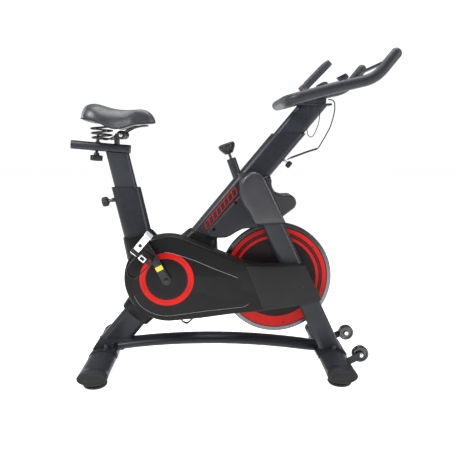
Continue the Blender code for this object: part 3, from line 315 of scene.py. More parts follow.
def circle(centre, radius, count=48):
    return arc(centre, radius, 0.0, 360.0 * (count - 1) / count, count)


def ellipse(centre, half_width, half_height, count=64, start=0.0, end=None):
    last = 360.0 * (count - 1) / count if end is None else end
    unit = arc((0.0, 0.0), 1.0, start, last, count)
    return [(centre[0] + half_width * x, centre[1] + half_height * y) for x, y in unit]


def stadium(width, thickness, count=14):
    reach = (width - thickness) / 2.0
    right = arc((reach, 0.0), thickness / 2.0, -90.0, 90.0, count)
    left = arc((-reach, 0.0), thickness / 2.0, 90.0, 270.0, count)
    return right + left


def rounded(width, height, radius, count=6):
    corners = []
    for sx, sy, start in ((1, 1, 0), (-1, 1, 90), (-1, -1, 180), (1, -1, 270)):
        centre = (sx * (width / 2.0 - radius), sy * (height / 2.0 - radius))
        corners += arc(centre, radius, start, start + 90, count)
    return corners


def spline(a, b, c, d, t):
    """A Catmull-Rom curve's place between b and c."""
    return 0.5 * (2 * b + (c - a) * t + (2 * a - 5 * b + 4 * c - d) * t * t
                  + (3 * b - a - 3 * c + d) * t ** 3)


def smoothed(points, closed=False, count=6):
    """Points on a Catmull-Rom curve through the given ones."""
    points = [Vector(point) for point in points]
    total = len(points)
    path = []
    for i in range(total if closed else total - 1):
        four = [points[(i + k) % total] if closed else points[min(max(i + k, 0), total - 1)]
                for k in (-1, 0, 1, 2)]
        path += [spline(*four, step / count) for step in range(count)]
    if not closed:
        path.append(points[-1])
    return path


def leaning(name, foot, slope, low, high, size, hole=None, y=0.0):
    """An oval tube along x = foot + slope * z, with both ends cut level."""
    stretch = sqrt(1.0 + slope * slope)
    outlines = [stadium(*size)] + ([stadium(*hole)] if hole else [])
    outlines = [[(x * stretch, v) for x, v in outline] for outline in outlines]
    made = shift(flat(name, outlines, high - low), move(0.0, y, (low + high) / 2.0))
    for vertex in made.data.vertices:
        vertex.co.x += foot + slope * vertex.co.z
    return made


def fork_front(z, gap):
    return fork_x(z) + FORK_HALF + gap


def fork_back(z, gap):
    return fork_x(z) - FORK_HALF - gap


def around(axis, reach, turn):
    """The x and z of a place on a circle about an axis along Y."""
    return (axis[0] + reach * cos(turn), axis[1] + reach * sin(turn))


def fork_room(low, high, gap, side):
    """A tool that makes room for a fork leg."""
    size = grown(FORK_SIZE, gap)
    return leaning("leg_room", FORK_FOOT, FORK_SLOPE, low, high, size, None, side * FORK_Y)


def main_room(low, high):
    """A tool that makes room for the main tube."""
    return leaning("tube_room", MAIN_FOOT, MAIN_SLOPE, low, high, grown(MAIN_SIZE))


def grown(size, gap=GAP):
    return (size[0] + 2.0 * gap, size[1] + 2.0 * gap)


def main_x(z):
    return MAIN_FOOT + MAIN_SLOPE * z


def fork_x(z):
    return FORK_FOOT + FORK_SLOPE * z


def sided(stem, side):
    return stem + ("_right" if side < 0 else "_left")


# Materials


def plug(socket, value):
    """Link a socket, or give it a plain value."""
    if isinstance(value, bpy.types.NodeSocket):
        socket.id_data.links.new(value, socket)
    else:
        socket.default_value = value


def fill(node, **values):
    """Plug a node's sockets by name, with _ for a space."""
    for key, value in values.items():
        plug(node.inputs[key.replace("_", " ")], value)
    return node


def mixed(tree, factor, first, second, blend="MIX"):
    """A colour mix.  The factor and both colours are sockets or plain values."""
    node = tree.nodes.new("ShaderNodeMix")
    node.data_type = "RGBA"
    node.blend_type = blend
    for index, value in ((0, factor), (6, first), (7, second)):
        plug(node.inputs[index], value)
    return node.outputs[2]


def sums(tree, operation, first, second=0.0, third=0.0):
    node = tree.nodes.new("ShaderNodeMath")
    node.operation = operation
    for socket, value in zip(node.inputs, (first, second, third)):
        plug(socket, value)
    return node.outputs[0]


def ranged(tree, value, low, high, new_low, new_high):
    node = tree.nodes.new("ShaderNodeMapRange")
    fill(node, Value=value, From_Min=low, From_Max=high, To_Min=new_low, To_Max=new_high)
    return node.outputs["Result"]


def texture(tree, kind, coordinates, **inputs):
    return fill(tree.nodes.new("ShaderNodeTex" + kind), Vector=coordinates, **inputs)


LOOKS = {}
BUMP_HEIGHT = 0.0006


NOISE_RANGE = (0.3, 0.7)


def surface(look, colour, roughness, grain, depth, vary, wear, metallic=0.0, shine=0.5, name=None,
            pattern="Noise", paint=None, relief=None, rough_vary=0.08, **sockets):
    """A material with grain, colour and gloss variation, and lighter worn edges."""
    material = bpy.data.materials.new(name or look)
    material.use_nodes = True
    tree = material.node_tree
    shader = tree.nodes["Principled BSDF"]
    place = tree.nodes.new("ShaderNodeTexCoord").outputs["Object"]
    base = paint(tree, place) if paint else colour + (1.0,)
    broad = texture(tree, "Noise", place, Scale=14.0, Detail=4.0).outputs["Fac"]
    shade = ranged(tree, broad, *NOISE_RANGE, 1.0 - vary, 1.0 + vary)
    varied = mixed(tree, 1.0, base, shade, "MULTIPLY")
    corner = tree.nodes.new("ShaderNodeNewGeometry").outputs["Pointiness"]
    fine = texture(tree, "Noise", place, Scale=grain, Detail=3.0).outputs["Fac"]
    edge = sums(tree, "MULTIPLY", ranged(tree, corner, 0.51, 0.6, 0.0, wear), fine)
    light = tuple(min(1.0, channel * 1.6 + 0.06) for channel in colour) + (1.0,)
    patches = texture(tree, "Noise", place, Scale=45.0, Detail=5.0).outputs["Fac"]
    gloss = ranged(tree, patches, *NOISE_RANGE, max(0.02, roughness - rough_vary), roughness + rough_vary)
    if relief:
        height = relief(tree, place)
    elif pattern == "Voronoi":
        height = texture(tree, "Voronoi", place, Scale=grain).outputs["Distance"]
    else:
        height = fine
    bump = fill(tree.nodes.new("ShaderNodeBump"), Strength=depth, Distance=BUMP_HEIGHT, Height=height)
    fill(shader, Base_Color=mixed(tree, edge, varied, light), Roughness=gloss, Metallic=metallic,
         Specular_IOR_Level=shine, Normal=bump.outputs["Normal"], **sockets)
    material.diffuse_color = colour + (1.0,)
    LOOKS[look] = material


def polar(tree, place, centre):
    """Radius and turn, from 0 to 1, about an axis along Y."""
    parts = tree.nodes.new("ShaderNodeSeparateXYZ")
    plug(parts.inputs[0], place)
    across = sums(tree, "SUBTRACT", parts.outputs["X"], centre[0])
    up = sums(tree, "SUBTRACT", parts.outputs["Z"], centre[1])
    square = sums(tree, "MULTIPLY_ADD", across, across, sums(tree, "MULTIPLY", up, up))
    radius = sums(tree, "SQRT", square)
    turn = sums(tree, "MULTIPLY_ADD", sums(tree, "ARCTAN2", up, across), 0.5 / pi, 0.5)
    return radius, turn


def band(tree, value, low, high):
    """1 between two values, and 0 elsewhere."""
    inside = sums(tree, "GREATER_THAN", value, low)
    return sums(tree, "MULTIPLY", inside, sums(tree, "LESS_THAN", value, high))


def dashes(tree, turn, count, share):
    """1 over a share of each of so many equal parts of a turn."""
    part = sums(tree, "FRACT", sums(tree, "MULTIPLY", turn, count))
    return sums(tree, "LESS_THAN", part, share)


RED = (0.5, 0.009, 0.006, 1.0)
INK = (0.008, 0.008, 0.009, 1.0)


def flywheel_print(tree, place):
    """Two red bands on black with dashed lines between them, and one solid red sector at the bottom."""
    radius, turn = polar(tree, place, FLYWHEEL_AXIS)
    sector = sums(tree, "MULTIPLY", band(tree, turn, 0.14, 0.37), band(tree, radius, 0.16, 0.2))
    red = sums(tree, "MAXIMUM", band(tree, radius, 0.184, 0.2), band(tree, radius, 0.159, 0.17))
    rows = sums(tree, "MAXIMUM", band(tree, radius, 0.1755, 0.1785), sector)
    marks = sums(tree, "MULTIPLY", rows, dashes(tree, turn, 110.0, 0.55))
    base = mixed(tree, sums(tree, "MAXIMUM", red, sector), INK, RED)
    return mixed(tree, sums(tree, "MULTIPLY", marks, 0.6), base, RED)


def ring_print(tree, place):
    """A red ring with five stretches of small dark dashes."""
    radius, turn = polar(tree, place, CRANK_AXIS)
    row = sums(tree, "MULTIPLY", dashes(tree, turn, 120.0, 0.45), band(tree, radius, 0.088, 0.0915))
    marks = sums(tree, "MULTIPLY", row, dashes(tree, turn, 5.0, 0.42))
    return mixed(tree, sums(tree, "MULTIPLY", marks, 0.8), RED, INK)


GROOVES = 2600.0  # to the metre


def turned_lines(centre):
    """Fine lathe grooves round an axis along Y."""
    def relief(tree, place):
        radius, _ = polar(tree, place, centre)
        stretched = tree.nodes.new("ShaderNodeCombineXYZ")
        plug(stretched.inputs[0], sums(tree, "MULTIPLY", radius, GROOVES))
        return texture(tree, "Noise", stretched.outputs[0], Scale=1.0, Detail=2.0).outputs["Fac"]
    return relief


# look, colour, roughness, grain, bump depth, colour variation, edge wear
surface("painted_frame", (0.014, 0.015, 0.019), 0.36, 700.0, 0.08, 0.08, 0.25, shine=0.22,
        name="powder_coat")
surface("post_steel", (0.015, 0.017, 0.023), 0.36, 800.0, 0.08, 0.08, 0.25, shine=0.24, name="post_coat")
surface("cover_plastic", (0.0068, 0.0068, 0.0074), 0.34, 1300.0, 0.1, 0.08, 0.3, shine=0.13)
surface("panel_plastic", (0.013, 0.013, 0.014), 0.38, 1300.0, 0.1, 0.08, 0.3, shine=0.15)
surface("grey_plastic", (0.017, 0.018, 0.021), 0.38, 1200.0, 0.1, 0.08, 0.25, shine=0.2)
# the pod's colour is lighter than the flange's grey plastic: a painted highlight for the dome's broad
# sheen, on top of its own gloss
surface("pod_plastic_painted_highlight", (0.026, 0.026, 0.03), 0.34, 1200.0, 0.03, 0.08, 0.05, shine=0.42)
surface("gloss_cover", (0.01, 0.01, 0.012), 0.22, 400.0, 0.02, 0.1, 0.04, shine=0.42, rough_vary=0.03,
        Coat_Weight=0.45, Coat_Roughness=0.12)
surface("wheel_plastic", (0.01, 0.01, 0.011), 0.16, 500.0, 0.05, 0.12, 0.15, rough_vary=0.05,
        Coat_Weight=0.8, Coat_Roughness=0.08)
surface("black_rubber", (0.011, 0.011, 0.012), 0.58, 1500.0, 0.25, 0.14, 0.25, shine=0.22)
surface("knob_plastic", (0.011, 0.011, 0.012), 0.34, 1500.0, 0.1, 0.1, 0.25, shine=0.28)
surface("grip_foam", (0.016, 0.017, 0.021), 0.42, 1100.0, 0.05, 0.08, 0.02, shine=0.26, Sheen_Weight=0.1,
        Sheen_Roughness=0.5)
surface("saddle_skin", (0.02, 0.021, 0.026), 0.4, 900.0, 0.16, 0.1, 0.15, shine=0.55, pattern="Voronoi",
        Sheen_Weight=0.15, Sheen_Roughness=0.4)
surface("polished_steel", (0.13, 0.135, 0.145), 0.24, 300.0, 0.1, 0.05, 0.1, metallic=1.0,
        relief=turned_lines(FLYWHEEL_AXIS), rough_vary=0.05, name="turned_steel")
surface("bright_steel", (0.66, 0.66, 0.68), 0.22, 900.0, 0.06, 0.06, 0.15, metallic=1.0)
surface("dark_steel", (0.045, 0.046, 0.05), 0.36, 900.0, 0.12, 0.15, 0.35, metallic=0.75)
surface("black_enamel", (0.01, 0.01, 0.011), 0.3, 600.0, 0.08, 0.1, 0.35, shine=0.28, Coat_Weight=0.12,
        Coat_Roughness=0.18)
# hole_shade_black: near-black for the brake shroud's screws, painted shade standing in for the darkness of
# screw holes
surface("hole_shade_black", (0.003, 0.003, 0.003), 0.75, 900.0, 0.05, 0.1, 0.0, shine=0.1)
# edge_highlight: a light grey for thin lines along the belt cover's teardrop, painted highlights on its
# rims
surface("edge_highlight", (0.15, 0.152, 0.165), 0.34, 1200.0, 0.05, 0.06, 0.05, name="painted_highlight_line")
surface("pedal_alloy", (0.78, 0.79, 0.8), 0.34, 800.0, 0.12, 0.08, 0.12, metallic=0.55)
surface("flywheel_print", (0.2, 0.02, 0.015), 0.36, 1100.0, 0.08, 0.06, 0.05, shine=0.12,
        paint=flywheel_print)
surface("ring_print", RED[:3], 0.36, 1200.0, 0.1, 0.06, 0.05, shine=0.12, paint=ring_print)
surface("red_paint", RED[:3], 0.4, 1200.0, 0.08, 0.08, 0.05, shine=0.12)
surface("console_plastic", (0.03, 0.033, 0.042), 0.36, 1200.0, 0.18, 0.08, 0.2)
surface("screen", (0.01, 0.012, 0.014), 0.1, 200.0, 0.01, 0.15, 0.05, rough_vary=0.03, Coat_Weight=1.0,
        Coat_Roughness=0.03)
surface("button_plastic", (0.8, 0.13, 0.035), 0.36, 1200.0, 0.12, 0.08, 0.15, name="orange_button")
surface("yellow_sticker", (0.85, 0.62, 0.05), 0.42, 900.0, 0.1, 0.06, 0.05)


def finished(target, body, look, nodes=(), angle=35.0):
    """Shade, paint and hang a new piece on its CAD body."""
    target.data.materials.clear()
    target.data.materials.append(LOOKS[look])
    target.data.shade_smooth()
    target.data.set_sharp_from_angle(angle=radians(angle))
    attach(target, body)
    if nodes:
        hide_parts(*nodes)
    return target


def on_frame(target, look, nodes=(), angle=35.0):
    return finished(target, "frame", look, nodes, angle)


def kept(node, look, angle=35.0):
    """A CAD node that stays: welded and smoothed for the render, with a better material."""
    target = NODES[node]
    target.data.materials.clear()
    target.data.materials.append(LOOKS[look])
    if target.data.attributes.get("custom_normal"):
        target.data.attributes.remove(target.data.attributes["custom_normal"])
    target.data.shade_smooth()
    merge = target.modifiers.new("weld", "WELD")
    merge.merge_threshold = 0.00001
    split = target.modifiers.new("sharp edges", "EDGE_SPLIT")
    split.split_angle = radians(angle)


# Frame


def rod_tool(name, radius, low, high):
    made = turned(name, [(0.0, high), (radius, high), (radius, low), (0.0, low)], 32)
    return shift(made, brake_place() @ Matrix.Rotation(radians(5.0), 4, "Z"))


def brake_place():
    return move(BRAKE_FOOT[0], 0.0, BRAKE_FOOT[1]) @ about_y(-BRAKE_LEAN)


def frame_tubes():
    tube_made = leaning("main_tube_shell", MAIN_FOOT, MAIN_SLOPE, 0.107, MAIN_TOP, MAIN_SIZE,
                        grown(HEAD_POST_SIZE, 0.0004))
    tube_made = cut(tube_made, rod_tool("rod_hole", 0.0075, -0.2, 0.06))
    shell_hole = mm((0, 40), (23.8, 40), (23.8, -40), (0, -40))
    tube_made = cut(tube_made, turned_across("shell_hole", shell_hole, *CRANK_AXIS))
    on_frame(rounded_edges(tube_made, 0.0012, 2, 60.0), "painted_frame", ["main_tube"])
    tube_made = leaning("seat_tube_shell", SEAT_FOOT, SEAT_SLOPE, 0.291, SEAT_TOP, SEAT_SIZE,
                        grown(POST_SIZE, 0.0004))
    tube_made = cut(tube_made, main_room(0.2, 0.5))
    on_frame(rounded_edges(tube_made, 0.0012, 2, 60.0), "painted_frame", ["seat_tube"])
    for node in ("base_beam", "rear_stabilizer", "front_stabilizer", "fork_leg_right", "fork_leg_left"):
        kept(node, "painted_frame", 40.0)
    for node in ("bottom_bracket", "flywheel_shaft", "crank_axle"):
        kept(node, "dark_steel")
    kept("belt_cover_back", "cover_plastic")
    kept("belt", "black_rubber")


def weld_beads():
    """A weld bead where the main tube stands on the base beam."""
    stretch = sqrt(1.0 + MAIN_SLOPE ** 2)
    ring = [(main_x(0.1085) + x * stretch, y, 0.1085) for x, y in stadium(*grown(MAIN_SIZE, 0.0006), 24)]
    bead = tube("base_weld", smoothed(ring, True, 3), 0.0024, 8, True)
    on_frame(crumple(bead, 0.003, 0.0011), "painted_frame")


CRADLES = (  # end, x, outer and inner half length, the nut's y and x
    ("rear", REAR_X, 0.07, 0.0265, 0.046, -0.478),
    ("front", FRONT_X, 0.086, 0.0683, 0.0765, 0.417),
)


def saddle_plates():
    """Thin cradles between the frame and its stabilizers, with domed nuts on top."""
    for stem, x, half, inside, nut_y, nut_x in CRADLES:
        outer, inner = (
            ellipse((x, STABILIZER_Z), STABILIZER_A + grow, STABILIZER_B + grow, 40, -8.0, 188.0)
            for grow in (0.0022, 0.0004))
        for side in (-1, 1):
            plate = upright_flat(sided(stem + "_cradle", side), [outer + list(reversed(inner))],
                                 side * inside, side * half)
            on_frame(rounded_edges(plate, 0.0006, 2, 50.0), "painted_frame")
            top = STABILIZER_Z + STABILIZER_B + 0.002
            washer = mm((0, 1.6), (10, 1.6), (10.5, 1), (10.5, 0), (0, 0))
            washer = turned(sided(stem + "_cradle_washer", side), washer, 40)
            dome = mm((0, 19), (3, 18.5), (5.5, 16.5), (6.6, 13.5), (6.8, 10.5))
            dome = turned("dome", dome + mm((8.2, 10), (8.4, 1.8), (0, 1.8)), 6)
            dome = rounded_edges(dome, 0.0008, 2, 20.0)
            nut = joined(sided(stem + "_cradle_nut", side), washer, dome)
            shift(nut, move(nut_x, side * nut_y, top))
            on_frame(nut, "dark_steel")


STRIPE_FACE, STRIPE_BACK = -0.0264, -0.0261


def stripes():
    """A generic slanted bar motif along the near side of the main tube."""
    along = Vector((MAIN_SLOPE, 1.0)).normalized()
    across = Vector((along.y, -along.x))

    def on_tube(height, reach):
        start = Vector((main_x(height), height))
        return start + across * reach

    def strip(name, first, second, width):
        first, second = Vector(first), Vector(second)
        line = (second - first).normalized()
        turn = Vector((-line.y, line.x)) * width / 2.0
        corners = [first - turn, second - turn, second + turn, first + turn]
        return upright_flat(name, [[tuple(corner) for corner in corners]], STRIPE_FACE, STRIPE_BACK)

    low, high, near, far = 0.556, 0.694, -0.0275, -0.004
    parts = [strip("rail", on_tube(low, near), on_tube(high, near), 0.0022),
             strip("rail", on_tube(low - 0.012, far), on_tube(high - 0.012, far), 0.0022)]
    count = 9
    for i in range(count):
        height = low + (high - low) * i / (count - 1)
        parts.append(strip("bar", on_tube(height, near), on_tube(height - 0.012, far), 0.0026))
    on_frame(joined("tube_stripes", *parts), "red_paint")


def ground_pieces():
    for stem, x in (("rear", REAR_X), ("front", FRONT_X)):
        for side in (-1, 1):
            end_cap(stem, x, side)
            levelling_foot(stem, x, side)
    for side in (-1, 1):
        transport_wheel(side)


def cap_ring(x, y, grow):
    outline = ellipse((x, STABILIZER_Z), STABILIZER_A + grow, STABILIZER_B + grow)
    return [(px, y, pz) for px, pz in outline]


def end_cap(stem, x, side):
    """The moulded end: a sleeve that carries the tube's line on, and a dished dark face."""
    face = STABILIZER_END + GAP
    rings = [(face, 0.0), (face + 0.0006, 0.0007), (0.2518, 0.0007), (0.2524, 0.0)]
    sleeve = loft(sided(stem + "_cap_sleeve", side), [cap_ring(x, side * y, grow) for y, grow in rings])
    on_frame(sleeve, "painted_frame", [sided(stem + "_end_cap", side)], angle=50.0)
    rings = mm((252.7, -0.4), (253.2, 0.6), (256, 0.9), (258.6, 0), (259.8, -2.5), (259.8, -6),
               (259, -7.5), (258.6, -10), (258.8, -15), (259.2, -20))
    cap = loft(sided(stem + "_cap_face", side), [cap_ring(x, side * y, grow) for y, grow in rings])
    on_frame(cap, "black_rubber", angle=50.0)


def levelling_foot(stem, x, side):
    top = 0.0182
    profile = [
        (0.0, 0.034), (0.0042, 0.034), (0.0042, top), (LEVELLER_R - 0.009, top),
        (LEVELLER_R - 0.006, top - 0.0008), (LEVELLER_R - 0.0022, top - 0.0038),
        (LEVELLER_R - 0.0006, 0.0115), (LEVELLER_R - 0.0012, 0.0108), (LEVELLER_R - 0.0004, 0.0098),
        (LEVELLER_R - 0.0004, 0.007), (LEVELLER_R - 0.003, 0.0025), (LEVELLER_R - 0.008, 0.0), (0.0, 0.0)]
    foot = turned(sided(stem + "_foot_pad", side), profile, 72)
    shift(foot, move(x, side * LEVELLER_Y, 0.0))
    body = sided(stem + "_foot", side)
    finished(foot, body, "black_rubber", [body])


def transport_wheel(side):
    half = 0.0115
    profile = [
        (0.0053, half - 0.001), (0.0095, half), (0.0105, half - 0.0006), (0.012, half - 0.003),
        (0.021, half - 0.003), (0.023, half - 0.0006), (0.0245, half), (WHEEL_R - 0.004, half),
        (WHEEL_R - 0.0012, half - 0.0014), (WHEEL_R, half - 0.004), (WHEEL_R, 0.001),
        (WHEEL_R - 0.0006, 0.0)]
    profile += [(radius, -y) for radius, y in reversed(profile[:-1])]
    wheel = turned_across(sided("transport_tyre", side), profile, *WHEEL_AXIS, 72, True)
    shift(wheel, move(0.0, side * WHEEL_Y, 0.0))
    finished(wheel, sided("wheel", side), "wheel_plastic", [sided("transport_wheel", side)])
    hub = mm((0, 4.8), (4, 4.6), (6.8, 3.6), (8, 2), (8.2, 0), (0, 0))
    for stem, face in (("outer", 0.1331), ("inner", -0.0989)):
        cap = turned_across(sided("wheel_bolt_" + stem, side), hub, *WHEEL_AXIS, 40)
        if face < 0.0:
            shift(cap, MIRROR)
        shift(cap, move(0.0, face, 0.0))
        if side < 0:
            shift(cap, MIRROR)
        on_frame(cap, "bright_steel")


# Covers


def screw_head(name, x, y, z, radius=0.0042, look="black_enamel"):
    """A domed screw head with a cross recess, on a face that looks along -Y or +Y."""
    out = -1.0 if y < 0.0 else 1.0
    profile = [(0.0, 0.0016), (radius * 0.6, 0.0014), (radius * 0.9, 0.0008), (radius, 0.0), (0.0, 0.0)]
    head = turned_across(name, profile, 0.0, 0.0, 32)
    for turn in (0.0, 90.0):
        slit = box("slit", (-radius * 0.62, 0.0006, -0.0005), (radius * 0.62, 0.003, 0.0005))
        head = cut(head, shift(slit, about_y(radians(turn + 20.0))))
    if out < 0.0:
        shift(head, Matrix.Rotation(pi, 4, "Z"))
    shift(head, move(x, y, z))
    return on_frame(head, look)


POD_BASE, POD_HEIGHT = 0.0651, 0.0165
POD_SHAPE = (  # share of the outline's size, share of the height
    (1.0, 0.0), (1.0, 0.12), (0.992, 0.3), (0.972, 0.5), (0.935, 0.68), (0.875, 0.82), (0.78, 0.92),
    (0.62, 0.975), (0.4, 0.995), (0.15, 1.0))


def crown_pod(name, outline, side):
    """A smooth domed shell over the fork's crown: the outline drawn in, ring by ring, as it rises."""
    crown = smoothed([(x, 0.0, z) for x, z in outline[1:-1]], False, 5)
    foot = [Vector((x, 0.0, z)) for x, z in (outline[-1], outline[0])]
    smooth = crown + [foot[0], foot[0].lerp(foot[1], 0.25), foot[0].lerp(foot[1], 0.75), foot[1]]
    middle = sum(smooth, Vector()) / len(smooth)
    rings = []
    for draw, rise in POD_SHAPE:
        lift = Vector((0.0, side * (POD_BASE + POD_HEIGHT * rise), 0.0))
        rings.append([middle + (point - middle) * draw + lift for point in smooth])
    return loft(name, rings)


def crown_covers():
    low_z = 0.572
    right = [(fork_front(low_z, 0.004), low_z + 0.006), (fork_front(0.64, 0.0065), 0.64),
             (fork_front(0.69, 0.007), 0.69), (fork_front(0.73, 0.006), 0.73)]
    top = mm((136, 752), (122, 764), (106, 770), (88, 769.5), (70, 762), (55, 749))
    left = mm((46, 733), (44, 712), (46, 680), (56, 648), (80, 614), (102, 578), (106, 568))
    outline = right + top + left
    pod_left = mm((50, 733), (47.5, 712), (50, 680), (61, 648), (86, 612), (106, 570.5))
    pod_top = mm((136, 752), (122, 764), (106, 770), (88, 768.5), (66, 756))
    pod_outline = right + pod_top + pod_left
    for side in (-1, 1):
        flange = upright_flat(sided("crown_flange", side), [outline], side * 0.0268, side * 0.065,
                              0.004, 3)
        flange = cut(flange, fork_room(0.5, 0.766, 0.0004, side))
        on_frame(flange, "grey_plastic", [sided("crown_cover", side)])
        pod = crown_pod(sided("crown_pod", side), pod_outline, side)
        # the lighter pod colour is a painted highlight on the dome
        on_frame(pod, "pod_plastic_painted_highlight", angle=60.0)


def brake_cover():
    outline = [
        (-0.078, 0.54), (-0.076, 0.529), (-0.07, 0.5215), (-0.06, 0.518), (-0.032, 0.5165),
        (-0.004, 0.518), (0.012, 0.5245), (0.036, 0.54), (0.06, 0.5515), (0.084, 0.5545),
        (0.11, 0.5555), (0.124, 0.564),
        (fork_back(0.6, 0.014), 0.61), (fork_back(0.66, 0.014), 0.65), (0.0475, 0.682)]
    web = [(0.03, 0.6), (0.1, 0.569), (0.1285, 0.57), (fork_back(0.6, -0.008), 0.6),
           (fork_back(0.66, -0.008), 0.66), (0.09, 0.672), (0.03, 0.67)]
    cover = upright_flat("brake_shroud", [outline], -0.049, 0.049, 0.01, 6)
    cover = cut(cover, upright_flat("web", [web], -0.0262, 0.0262), "UNION")
    cover = cut(cover, main_room(0.4, 0.8))
    room = [(0.0, 0.0225), (FLYWHEEL_R + 0.006, 0.0225), (FLYWHEEL_R + 0.006, -0.0225), (0.0, -0.0225)]
    cover = cut(cover, turned_across("wheel_room", room, *FLYWHEEL_AXIS, 96))
    room = mm((-10, -85), (10, -85), (10, -172), (32, -174), (34, -215), (-30, -215), (-26, -174),
              (-10, -172))
    cover = cut(cover, shift(upright_flat("rod_room", [room], -0.021, 0.021), brake_place()))
    on_frame(cover, "grey_plastic", ["brake_cover"])
    for side in (-1, 1):
        for i, (x, z) in enumerate(((-0.05, 0.5514), (0.0321, 0.6538))):
            name = sided("shroud_screw_%d" % (i + 1), side)
            # near-black screw heads: painted shade for the dark screw holes in the shroud
            screw_head(name, x, side * 0.0489, z, 0.0062, "hole_shade_black")


def front_cover():
    edge = [(fork_front(0.748, 0.0035), 0.748), (0.148, 0.7535), (0.164, 0.752)]
    scoop = arc((0.214, 0.727), 0.0458, 172.0, 270.0, 26)
    nose = arc((0.233, 0.6515), 0.0305, 82.0, -42.0, 24)
    outline = edge + scoop + nose + [(0.215, 0.6), (0.208, 0.5985), (fork_front(0.6, 0.0035), 0.6)]
    cover = upright_flat("front_nose", [outline], -0.046, 0.046, 0.0055, 5)
    cover = cut(cover, main_room(0.6, 0.8))
    cover.data.shade_smooth()
    cover.data.set_sharp_from_angle(angle=radians(50.0))
    even = cover.modifiers.new("even", "WEIGHTED_NORMAL")
    even.keep_sharp = True
    cover = applied(cover)
    on_frame(cover, "gloss_cover", ["front_cover"], angle=50.0)


def cover_outline(inset=0.0):
    """The belt cover's outline: a round rear end that narrows to the fork leg."""
    rear = arc(COVER_CENTRE, COVER_R - inset, 67.0, 276.0, 60)
    lower = [(-0.1, 0.22 + inset), (0.01, 0.235 + inset), (0.12, 0.2445 + inset),
             (0.236, 0.26 + inset), (0.344 - inset, 0.279 + inset)]
    front = [(0.359 - inset, 0.29 + inset), (0.293 - inset * 0.6, 0.4205 - inset)]
    upper = [(0.13, 0.421 - inset), (0.092, 0.426 - inset), (0.05, 0.4405 - inset)]
    return rear + lower + front + upper


def belt_cover():
    sunk = 0.0018
    inner_face = COVER_FACE + 0.0048
    cover = upright_flat("belt_cover_shell", [cover_outline()], COVER_FACE + sunk, COVER_BACK + 0.012,
                         0.011, 6)
    cover = cut(cover, box("open_side", (-0.45, COVER_BACK, 0.15), (0.45, 0.0, 0.6)))
    room = upright_flat("room", [cover_outline(0.003)], inner_face, COVER_BACK + 0.01)
    hollow = upright_flat("hollow", [cover_outline(0.012)], inner_face, COVER_BACK + 0.01)
    shift(room, move(0.0, 0.01, 0.0))
    cover = cut(cut(cover, hollow), room)
    hole = mm((0, 0), (12.5, 0), (12.5, -160), (0, -160))
    cover = cut(cover, turned_across("axle_hole", hole, *CRANK_AXIS))
    cover = cut(cover, fork_room(0.1, 0.6, 0.0008, -1))
    on_frame(cover, "cover_plastic", ["belt_cover"])
    # the raised teardrop round the ring
    spiral = []
    for i in range(49):
        turn = radians(94.0 + 182.0 * i / 48)
        reach = 0.1045 + 0.0375 * min(1.0, i / 34)
        spiral.append(around(CRANK_AXIS, reach, turn))
    lower = mm((-71.6, 252.5), (56, 265.5), (69, 270), (79.7, 279))
    upper = mm((38, 379), (14.9, 389), (-49.2, 414.3), (-120.1, 445.7), (-172.9, 464.1), (-205, 474.5))
    outline = spiral + lower + upper
    teardrop = upright_flat("belt_cover_teardrop", [outline], COVER_FACE, COVER_FACE + 0.004, 0.0018, 3)
    teardrop = cut(teardrop, turned_across("axle_hole", hole, *CRANK_AXIS))
    on_frame(teardrop, "cover_plastic")
    # thin light grey lines along the teardrop's upper and lower rims: painted highlights, lighter than the
    # cover plastic
    line = [(x, COVER_FACE - 0.0001, z) for x, z in upper + spiral[:1]]
    on_frame(tube("teardrop_highlight_line", line, 0.0011, 8), "edge_highlight")
    line = [(x, COVER_FACE - 0.0001, z) for x, z in spiral[30:] + lower]
    on_frame(tube("teardrop_lower_highlight_line", line, 0.0009, 8), "edge_highlight")
    # the lighter panel in front of the crease
    panel = mm((69, 423.5), (131.6, 264), (140, 253.5), (276.6, 270), (344, 283.5), (352.5, 290),
               (353, 296), (294, 413), (289, 416), (130, 416), (96, 420.5))
    panel = upright_flat("belt_cover_panel", [panel], COVER_FACE - 0.0006, COVER_FACE + 0.004, 0.0016, 3)
    on_frame(panel, "panel_plastic")
    screw_head("panel_screw", 0.2836, COVER_FACE - 0.0006, 0.3419, 0.0036)


def ring_and_disc():
    outlines = [circle(CRANK_AXIS, 0.101, 128), circle(CRANK_AXIS, 0.079, 128)]
    ring = upright_flat("printed_ring", outlines, COVER_FACE - 0.0014, COVER_FACE - 0.0002, 0.0004, 2)
    on_frame(ring, "ring_print", ["cover_ring"])
    profile = mm((13, -118), (77.5, -118), (78.5, -118.6), (78, -119.2), (70, -120.3), (45, -121.4),
                 (13, -122))
    disc = turned_across("crank_disc", profile, *CRANK_AXIS, 128, True)
    on_frame(disc, "cover_plastic")


def crank_cover_left():
    profile = mm((94, 35), (94, 95), (92.5, 101), (89, 105.5), (83, 108.5), (12.5, 113), (12.5, 110),
                 (82, 105.5), (88, 101), (91, 93), (91, 35))
    made = turned_across("left_cover_bowl", list(reversed(profile)), *CRANK_AXIS, 96, True)
    on_frame(made, "cover_plastic", ["crank_cover_left"])


def boot(name, node, foot, slope, tube_size, rows):
    """A flared plastic collar round a tube where it enters the belt cover."""
    stretch = sqrt(1.0 + slope * slope)
    rings = []
    for height, turn, rear, front, half in rows:
        ring = []
        for x, y in stadium(front - rear, 2.0 * half, 14):
            reach = x + (front + rear) / 2.0
            on_axis = height + turn * reach * slope / stretch
            ring.append((foot + slope * on_axis + reach / stretch, y, on_axis - reach * slope / stretch))
        rings.append(ring)
    heights = [place[2] for ring in rings for place in ring]
    collar = loft(name, rings)
    bore = leaning("bore", foot, slope, min(heights) - 0.02, max(heights) + 0.02, grown(tube_size, 0.0002))
    collar = rounded_edges(cut(collar, bore), 0.001, 3, 28.0)
    on_frame(collar, "cover_plastic", [node], angle=45.0)


